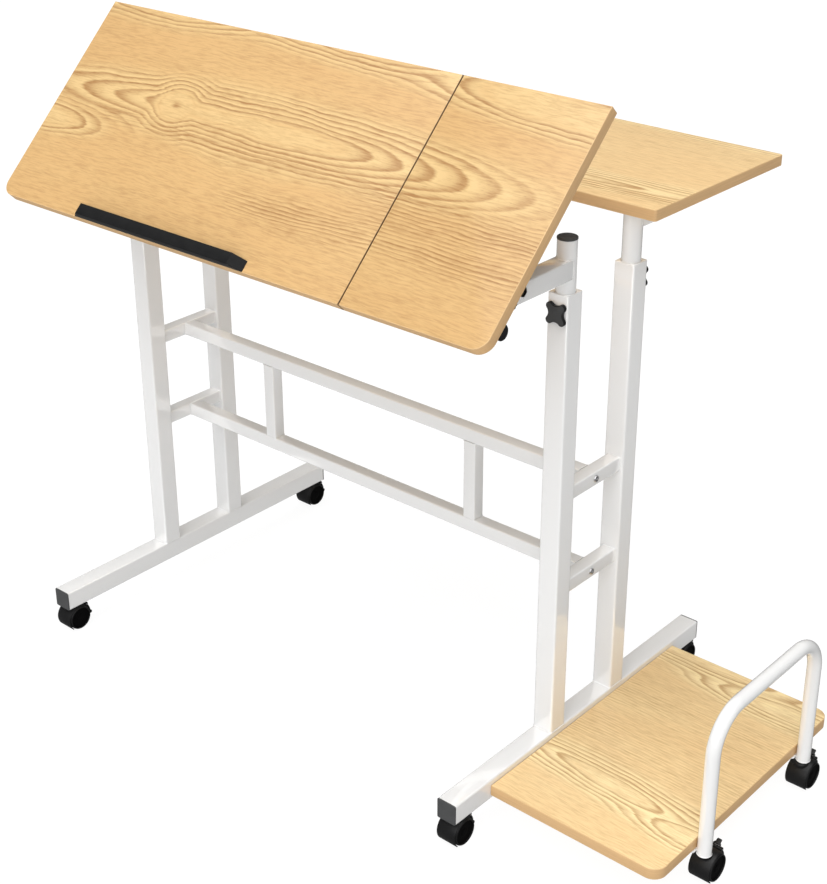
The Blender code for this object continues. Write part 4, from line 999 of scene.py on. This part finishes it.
class TABLE_OT_ladder(bpy.types.Operator):
    """Make the rungs, the long rails, their bolts and the spacers between them"""

    bl_idname = "laptop_table.ladder"
    bl_label = "Rails and rungs"

    def execute(self, context):
        look = context.scene.table_steel
        corner, bead = look.light_corner, look.bead_radius * 0.7
        for level in ("upper", "lower"):
            bolts = Form()
            ends = []
            for label, side in SIDES:
                node = f"rung_{level}_{label}"
                low, high, centre, size = box(node)
                wide = size[2]
                ends.append(centre[0] - side * (wide / 2 + SEAT_GAP))
                form = Form()
                tube_along(form, ALONG_Y, (centre[0], 0, centre[2]), wide, corner, low[1], high[1])
                for y in (low[1], high[1]):
                    bead_square(form, (centre[0], y, centre[2]), wide, bead, ALONG_Y)
                form.piece(f"rung_tube_{level}_{label}", "frame", COAT, "white", node)
                seat = centre[0] + side * (wide / 2 + SEAT_GAP)
                bolts.add(bolt_head(look.bolt_radius, 0.0022),
                          at(seat, centre[1], centre[2]) @ outward(side))
            form = Form()
            tube_along(form, ALONG_X, (0, centre[1], centre[2]), wide, corner, ends[0], ends[1])
            for end in ends:
                bead_square(form, (end, centre[1], centre[2]), wide, bead, ALONG_X)
            form.piece(f"rail_tube_{level}", "frame", COAT, "white", f"rail_{level}")
            bolts.piece(f"rail_bolts_{level}", "frame", COAT, "zinc")
        for label, _ in SIDES:
            node = f"spacer_{label}"
            low, high, (x, y, _), size = box(node)
            form = Form()
            tube_along(form, Matrix(), (x, y, 0), size[0], corner, low[2], high[2])
            for z in (low[2], high[2]):
                bead_square(form, (x, y, z), size[0], bead)
            form.piece(f"spacer_tube_{label}", "frame", COAT, "white", node)
        return {"FINISHED"}


class TABLE_OT_posts(bpy.types.Operator):
    """Make the lifting posts with their arms, welds and caps"""

    bl_idname = "laptop_table.posts"
    bl_label = "Lifting posts"

    def execute(self, context):
        look = context.scene.table_steel
        for label, _ in SIDES:
            self.make_front(look, label)
            self.make_rear(look, label)
        return {"FINISHED"}

    def make_front(self, look, label):
        """A round post with a square arm towards the front and a cap on its head."""
        node = f"front_post_{label}"
        low, high, centre, size = box(node)
        x, y, radius = centre[0], box(f"upright_front_{label}")[2][1], size[0] / 2
        arm_z = joint_place("top_tilt")[2] - ARM_DROP
        form = Form().add(turned([(radius - 0.0006, low[2]), (radius, low[2] + 0.0006),
                                  (radius, high[2])]), at(x, y, 0))
        arm = slab(round_box(radius * 2, radius * 2, look.light_corner), ARM_START, y - low[1],
                   0.0005, 2)
        form.add(arm, at(x, y, arm_z) @ FRONT_VIEW)
        saddle_bead(form, (x, y, arm_z), radius, radius * 2, -1, look)
        form.piece(f"lift_post_front_{label}", "front_lift", COAT, "white", node)
        cap = f"front_post_cap_{label}"
        _, cap_high, _, cap_size = box(cap)
        wide, seat, top = cap_size[0] / 2, high[2] + SEAT_GAP, cap_high[2]
        form = Form().add(turned([
            (wide - 0.003, high[2] - 0.004), (wide - 0.0025, seat), (wide, seat),
            (wide, top - 0.0010), (wide - 0.0003, top - 0.0004), (wide - 0.0010, top - 0.0001),
            (wide - 0.0024, top), (wide - 0.0030, top - 0.0003), (0.001, top - 0.0003)]), at(x, y, 0))
        form.piece(f"lift_post_cap_{label}", "front_lift", GREY, "grey", cap, sharp=28.0)

    def make_rear(self, look, label):
        """A round post with a flat arm towards the back, under the rear top."""
        node = f"rear_post_{label}"
        low, high, centre, size = box(node)
        x, y, radius = centre[0], box(f"upright_rear_{label}")[2][1], size[0] / 2
        arm_z = high[2] - REAR_ARM_TALL / 2
        form = Form().add(turned([(radius - 0.0006, low[2]), (radius, low[2] + 0.0006),
                                  (radius, high[2] - 0.0003), (radius - 0.0003, high[2])]), at(x, y, 0))
        arm = slab(round_box(radius * 2 - 0.0006, REAR_ARM_TALL, look.light_corner), y + ARM_START,
                   high[1], 0.0005, 2)
        form.add(arm, at(x, 0, arm_z) @ ALONG_Y)
        saddle_bead(form, (x, y, arm_z), radius, REAR_ARM_TALL, 1, look)
        form.piece(f"lift_post_rear_{label}", "rear_lift", COAT, "white", node)


class TABLE_OT_guard(bpy.types.Operator):
    """Make the bent round guard at the shelf's outer edge, with its lugs"""

    bl_idname = "laptop_table.guard"
    bl_label = "Shelf guard"

    def execute(self, context):
        low, high, _, _ = box("shelf_guard")
        radius, bend, bead = 0.0095, 0.051, 0.0007
        x, foot, top = high[0] - radius, low[2], high[2] - radius
        near, far = low[1] + radius, high[1] - radius
        leg = np.linspace(foot, top - bend, 5)[:-1]
        path = np.vstack((np.column_stack((np.full(4, near), leg)),
                          arc((near + bend, top - bend), bend, math.pi, math.pi / 2, 20),
                          arc((far - bend, top - bend), bend, math.pi / 2, 0, 20),
                          np.column_stack((np.full(4, far), leg[::-1]))))
        path = np.column_stack((np.full(len(path), x), path))
        form = Form().add(swept(path, circle(radius), (1, 0, 0)))
        for y in (near, far):
            add_lug(form, GUARD_LUG, x - radius, y)
            form.add(hooped(ring_at(circle(radius - 0.0002)), bead, np.zeros(3)),
                     at(x, y, foot + bead), closed=True)
        form.piece("guard_tube", "frame", COAT, "white", "shelf_guard")
        return {"FINISHED"}


# Tilting gear and knobs

class TABLE_OT_tilting(bpy.types.Operator):
    """Make the stop ledge, the cross tube, the tilt brackets' bolts and the lock knobs"""

    bl_idname = "laptop_table.tilting"
    bl_label = "Tilting gear"

    def execute(self, context):
        plastic = context.scene.table_plastic
        self.make_ledge(plastic)
        self.make_cross_tube()
        for label, side in SIDES:
            self.make_bracket(label)
            self.make_lock(plastic, label, side)
        return {"FINISHED"}

    def make_ledge(self, plastic):
        """A bar with a ramp at each end: a trapezium seen from the front, carried back."""
        low, high, _, _ = box("stop_ledge", TILTED)
        ramp = 0.0155
        outline = np.array([(low[0], low[2]), (high[0], low[2]), (high[0] - ramp, high[2]),
                            (low[0] + ramp, high[2])])
        form = Form().add(slab(outline, -high[1], -low[1], plastic.edge_radius, 3), TILTED @ FRONT_VIEW)
        form.piece("ledge_bar", "tilt_top", BLACK, "black", "stop_ledge", sharp=30.0)

    def make_cross_tube(self):
        """A round tube across both brackets, with a cap in each end."""
        low, high, (_, y, z), size = box("cross_tube", TILTED)
        radius, axis = size[2] / 2, TILTED @ at(0, y, z)
        form = Form().add(turned([(radius - 0.0004, low[0]), (radius, low[0] + 0.0004),
                                  (radius, high[0] - 0.0004), (radius - 0.0004, high[0])]),
                          axis @ ALONG_X)
        form.piece("tie_tube", "tilt_top", COAT, "white", "cross_tube")
        for label, side in SIDES:
            cap = f"cross_tube_cap_{label}"
            inner = max(side * low[0], side * high[0])
            outer = max(side * corner[0] for corner in box(cap, TILTED)[:2])
            form = Form().add(turned([
                (radius - 0.003, inner - 0.004), (radius - 0.0025, inner + SEAT_GAP),
                (radius, inner + SEAT_GAP), (radius, outer - 0.0012), (radius - 0.0006, outer - 0.0003),
                (radius - 0.0018, outer), (radius - 0.0035, outer - 0.0002), (0.001, outer - 0.0002)]),
                axis @ outward(side))
            form.piece(f"tie_tube_end_{label}", "tilt_top", BLACK, "black", cap, sharp=30.0)

    def make_bracket(self, label):
        """The bracket keeps its packed shape; a washer and a nut dress each end of its pin."""
        node = f"tilt_bracket_{label}"
        for slot in frame["nodes"][node].material_slots:
            slot.material = finish_named("white")
        low, high, _, _ = box(node, TILTED)
        thick, tall = 0.0013, 0.0029
        washer = [(0.0078, 0.0), (0.0080, 0.0002), (0.0080, 0.0010), (0.0076, thick)]
        nut = lofted(hexagon(0.0062), ((thick, 0.0), (0.0026, 0.0), (tall, 0.0005)))
        form = Form()
        for edge, sign in ((high[0], 1), (low[0], -1)):
            seat = TILTED @ at(edge - sign * tall, 0, 0) @ outward(sign)
            form.add(turned(washer, SMALL_STEPS), seat).add(nut, seat)
        form.piece(f"hinge_bolt_{label}", "tilt_top", COAT, "white")

    def make_lock(self, plastic, label, side):
        """A fluted round knob on a hub, with its screw through the arm and a head inside."""
        node, body = f"tilt_lock_{label}", f"tilt_lock_{label}_body"
        low, high, _, _ = box(node)
        place = joint_place(f"tilt_lock_{label}_turn")
        outer, inner = (high[0] - place[0], place[0] - low[0])[::side]
        pose = at(*place) @ outward(side)
        knob_long, knob_radius, flute = 0.0113, 0.0098, 0.0009
        hub, hub_start, screw, screw_end = 0.0060, 0.0128, 0.0030, 0.0132
        head, head_tall = 0.0060, 0.0025
        start, edge = outer - knob_long, plastic.edge_radius * 1.4
        sunk = [(outer, edge + 0.0022), (outer - 0.0006, edge + 0.0030)]
        levels = np.vstack((arris(start, outer, edge, 4), sunk))
        form = Form().add(lofted(fluted(knob_radius, flute, 12, 96), levels), pose)
        form.add(turned([(hub, hub_start), (hub, start + 0.0004)], SMALL_STEPS), pose)
        form.piece(f"lock_knob_{label}", body, BLACK, "black", node, sharp=40.0)
        form = Form().add(turned([(screw, -inner + 0.002), (screw, screw_end)], SMALL_STEPS), pose)
        form.add(bolt_head(head, head_tall), at(*place) @ at(-side * (inner - head_tall), 0, 0)
                 @ outward(side) @ Matrix.Rotation(math.pi, 4, "X"))
        form.piece(f"lock_screw_{label}", body, BLACK, "zinc")


class TABLE_OT_star_knobs(bpy.types.Operator):
    """Make the four-lobed clamp knobs on the uprights"""

    bl_idname = "laptop_table.star_knobs"
    bl_label = "Clamp knobs"

    def execute(self, context):
        plastic = context.scene.table_plastic
        reach, waist, thick = 0.0175, 0.0104, 0.0049
        star = slab(lobed(reach, waist, plastic.lobe_radius), 0.0, thick, plastic.edge_radius * 0.7, 3)
        hub = turned([(0.0062, thick - 0.001), (0.0062, thick - 0.0001), (0.0058, thick + 0.00005),
                      (0.0040, thick + 0.00005), (0.0036, thick - 0.0004), (0.0010, thick - 0.0004)],
                     SMALL_STEPS)
        stud = turned([(0.003, -0.0022), (0.003, 0.001)], SMALL_STEPS)
        for row, sign in ROWS:
            for label, _ in SIDES:
                node = f"clamp_knob_{row}_{label}"
                low, high, centre, _ = box(node)
                face = low[1] if sign < 0 else high[1]
                place = at(centre[0], face - sign * thick, centre[2]) @ facing(sign)
                # Painted light: the star's two faces and its hub take the lighter face finish, while its
                # sides stay black.
                form = Form().add(star, place, end_slot=1).add(hub, place, slot=1).add(stud, place)
                form.piece(f"star_grip_{row}_{label}", f"{node}_body", BLACK, "black knob_face", node,
                           sharp=40.0)
        return {"FINISHED"}


# Casters

class TABLE_OT_casters(bpy.types.Operator):
    """Make the six twin-wheel casters: hood, wheels and brake lever"""

    bl_idname = "laptop_table.casters"
    bl_label = "Casters"

    def execute(self, context):
        for label in CASTERS:
            axle = at(*joint_place(f"wheels_{label}_roll"))
            self.make_hood(label, joint_place(f"swivel_{label}_turn"), axle)
            self.make_wheels(label, axle)
            self.make_lever(label, axle, at(*joint_place(f"brake_{label}_press")))
        return {"FINISHED"}

    def make_hood(self, label, stem, axle):
        """A curved fender over the wheels, the web between them, and a saddle under the stem."""
        rear, front, ear = radians((60.0, 225.0, 42.0))
        outer, inner, half = 0.0213, 0.0197, 0.0150
        web_outer, web_inner, ear_reach, ear_radius = 0.0205, 0.017, 0.0225, 0.0033
        shell = np.vstack((arc((0, 0), outer, rear, front, 40), arc((0, 0), inner, front, rear, 40)))
        # The web stops a little short of the fender's ends, and runs out into a round ear
        web = np.vstack((arc((0, 0), web_outer, rear + 0.05, front - 0.05, 32),
                         arc((0, 0), web_inner, front - 0.05, math.tau + ear - 0.2, 24),
                         arc((ear_reach * math.cos(ear), ear_reach * math.sin(ear)), ear_radius,
                             ear - 1.57, ear + 1.57, 10),
                         arc((0, 0), web_inner, ear + 0.2, rear + 0.05, 2)))
        top, pivot = stem[2] - 0.0005, at(stem[0], stem[1], 0)
        saddle = [(0.0098, stem[2] - 0.0060), (0.0104, stem[2] - 0.0030), (0.0100, top - 0.0010),
                  (0.0094, top - 0.0002), (0.0086, top), (0.0070, top), (0.0064, top - 0.0004),
                  (0.0044, top - 0.0004)]
        form = Form()
        form.add(slab(shell, -half, half, 0.0006, 2), axle @ SIDE_VIEW)
        form.add(slab(web, -0.003, 0.003, EASE, 1), axle @ SIDE_VIEW)
        form.add(turned(saddle), pivot)
        form.piece(f"caster_shell_{label}", f"swivel_{label}", BLACK, "black", f"caster_hood_{label}",
                   sharp=40.0)
        form = Form().add(turned([(0.004, top - 0.004), (0.004, stem[2] + 0.0155),
                                  (0.0034, stem[2] + 0.016)], SMALL_STEPS), pivot)
        form.piece(f"caster_stem_{label}", f"swivel_{label}", BLACK, "zinc")

    def make_wheels(self, label, axle):
        """Two wheels: a tread with a round shoulder and a thin rim about a sunk black disc."""
        radius, out, gap = 0.019, 0.0160, 0.0038
        sunk = out - 0.0022
        tread = [(0.0025, gap), (radius - 0.0006, gap), (radius, gap + 0.0006), (radius, out - 0.0028),
                 (radius - 0.0003, out - 0.0014), (radius - 0.0009, out - 0.0004),
                 (radius - 0.0016, out), (0.0172, out), (0.0168, out - 0.0004), (0.0166, sunk),
                 (0.0020, sunk)]
        disc = [(0.0025, sunk - 0.001), (0.0165, sunk - 0.001), (0.0165, sunk + 0.0001),
                (0.0064, sunk + 0.0003), (0.0058, sunk + 0.0007), (0.0050, sunk + 0.0011),
                (0.0020, sunk + 0.0012)]
        form = Form()
        for side in (1, -1):
            form.add(turned(tread), axle @ outward(side))
            # The sunk disc takes the darker black, partly painted shade of the hollow it sits in.
            form.add(turned(disc), axle @ outward(side), slot=1)
        form.add(turned([(0.0024, -0.006), (0.0024, 0.006)], SMALL_STEPS), axle @ ALONG_X)
        form.piece(f"caster_tread_{label}", f"wheels_{label}", BLACK, "black recess",
                   f"caster_wheels_{label}", sharp=30.0)

    def make_lever(self, label, axle, pin):
        """A curved foot pad behind the wheels with a round nose, two ears, and a release tab."""
        inner, outer, half, nose_radius = 0.0215, 0.0235, 0.010, 0.0028
        top, nose = radians((53.0, -4.0))
        pad = np.vstack((arc((0, 0), outer, nose - 0.02, top, 24),
                         arc((0, 0), inner, top, nose - 0.10, 24),
                         arc((outer * math.cos(nose), outer * math.sin(nose)), nose_radius,
                             nose - 1.9, nose + 0.9, 10)))
        form = Form().add(slab(pad, -half, half, 0.0005, 2), axle @ SIDE_VIEW)
        ear = [(0.0028, -0.0100), (0.0033, -0.0095), (0.0033, -0.0036), (0.0028, -0.0034)]
        for side in (1, -1):
            form.add(turned(ear, SMALL_STEPS), pin @ outward(side))
        lean = Matrix.Rotation(-math.radians(62.0), 4, "X")
        form.add(self.forked_tab(), pin @ lean @ FRONT_VIEW)
        form.piece(f"caster_pedal_{label}", f"brake_{label}", BLACK, "black", f"caster_brake_{label}",
                   sharp=40.0)
        rivet = turned([(0.0012, 0.0), (0.0012, 0.0006), (0.0008, 0.0009)], 16)
        form = Form().add(rivet, pin @ at(0.0100, 0, 0) @ ALONG_X)
        form.piece(f"caster_rivet_{label}", f"brake_{label}", BLACK, "zinc")

    @staticmethod
    def forked_tab():
        """A release tab on two legs: a fork's outline between two heights, its edges rounded."""
        half = np.array([(0.0036, 0.0038), (0.0036, 0.0), (0.0054, 0.0), (0.0054, 0.0052),
                         (0.0034, 0.0074), (0.0033, 0.0112), (0.0025, 0.0120)])
        return slab(np.vstack((half, half[::-1] * (-1, 1))), -0.0011, 0.0011, 0.0004, 2)


# The add-on

class TABLE_PT_panel(bpy.types.Panel):
    """Lists the table's pieces and looks"""

    bl_idname = "TABLE_PT_laptop_table"
    bl_label = "Laptop table"
    bl_space_type = "VIEW_3D"
    bl_region_type = "UI"
    bl_category = "Laptop table"

    def draw(self, context):
        for operator in OPERATORS:
            self.layout.operator(operator.bl_idname)
        for attribute, group in GROUPS.items():
            box_ui = self.layout.box()
            box_ui.label(text=group.__doc__)
            for name in group.__annotations__:
                box_ui.prop(getattr(context.scene, attribute), name)


OPERATORS = (TABLE_OT_stage, TABLE_OT_boards, TABLE_OT_feet, TABLE_OT_uprights, TABLE_OT_ladder,
             TABLE_OT_posts, TABLE_OT_tilting, TABLE_OT_star_knobs, TABLE_OT_guard, TABLE_OT_casters)
GROUPS = {"table_oak": TableOak, "table_steel": TableSteel, "table_plastic": TablePlastic,
          "table_stage": TableStage}


def register():
    """Register the property groups, the operators and the panel."""
    for attribute, group in GROUPS.items():
        bpy.utils.register_class(group)
        setattr(bpy.types.Scene, attribute, PointerProperty(type=group))
    for item in (*OPERATORS, TABLE_PT_panel):
        bpy.utils.register_class(item)


def unregister():
    """Undo what register does."""
    for item in (TABLE_PT_panel, *reversed(OPERATORS)):
        bpy.utils.unregister_class(item)
    for attribute, group in GROUPS.items():
        delattr(bpy.types.Scene, attribute)
        bpy.utils.unregister_class(group)


def main():
    """Register the add-on, then make the stage and all pieces."""
    register()
    for operator in OPERATORS:
        group, name = operator.bl_idname.split(".")
        getattr(getattr(bpy.ops, group), name)()


if __name__ == "__main__":
    main()
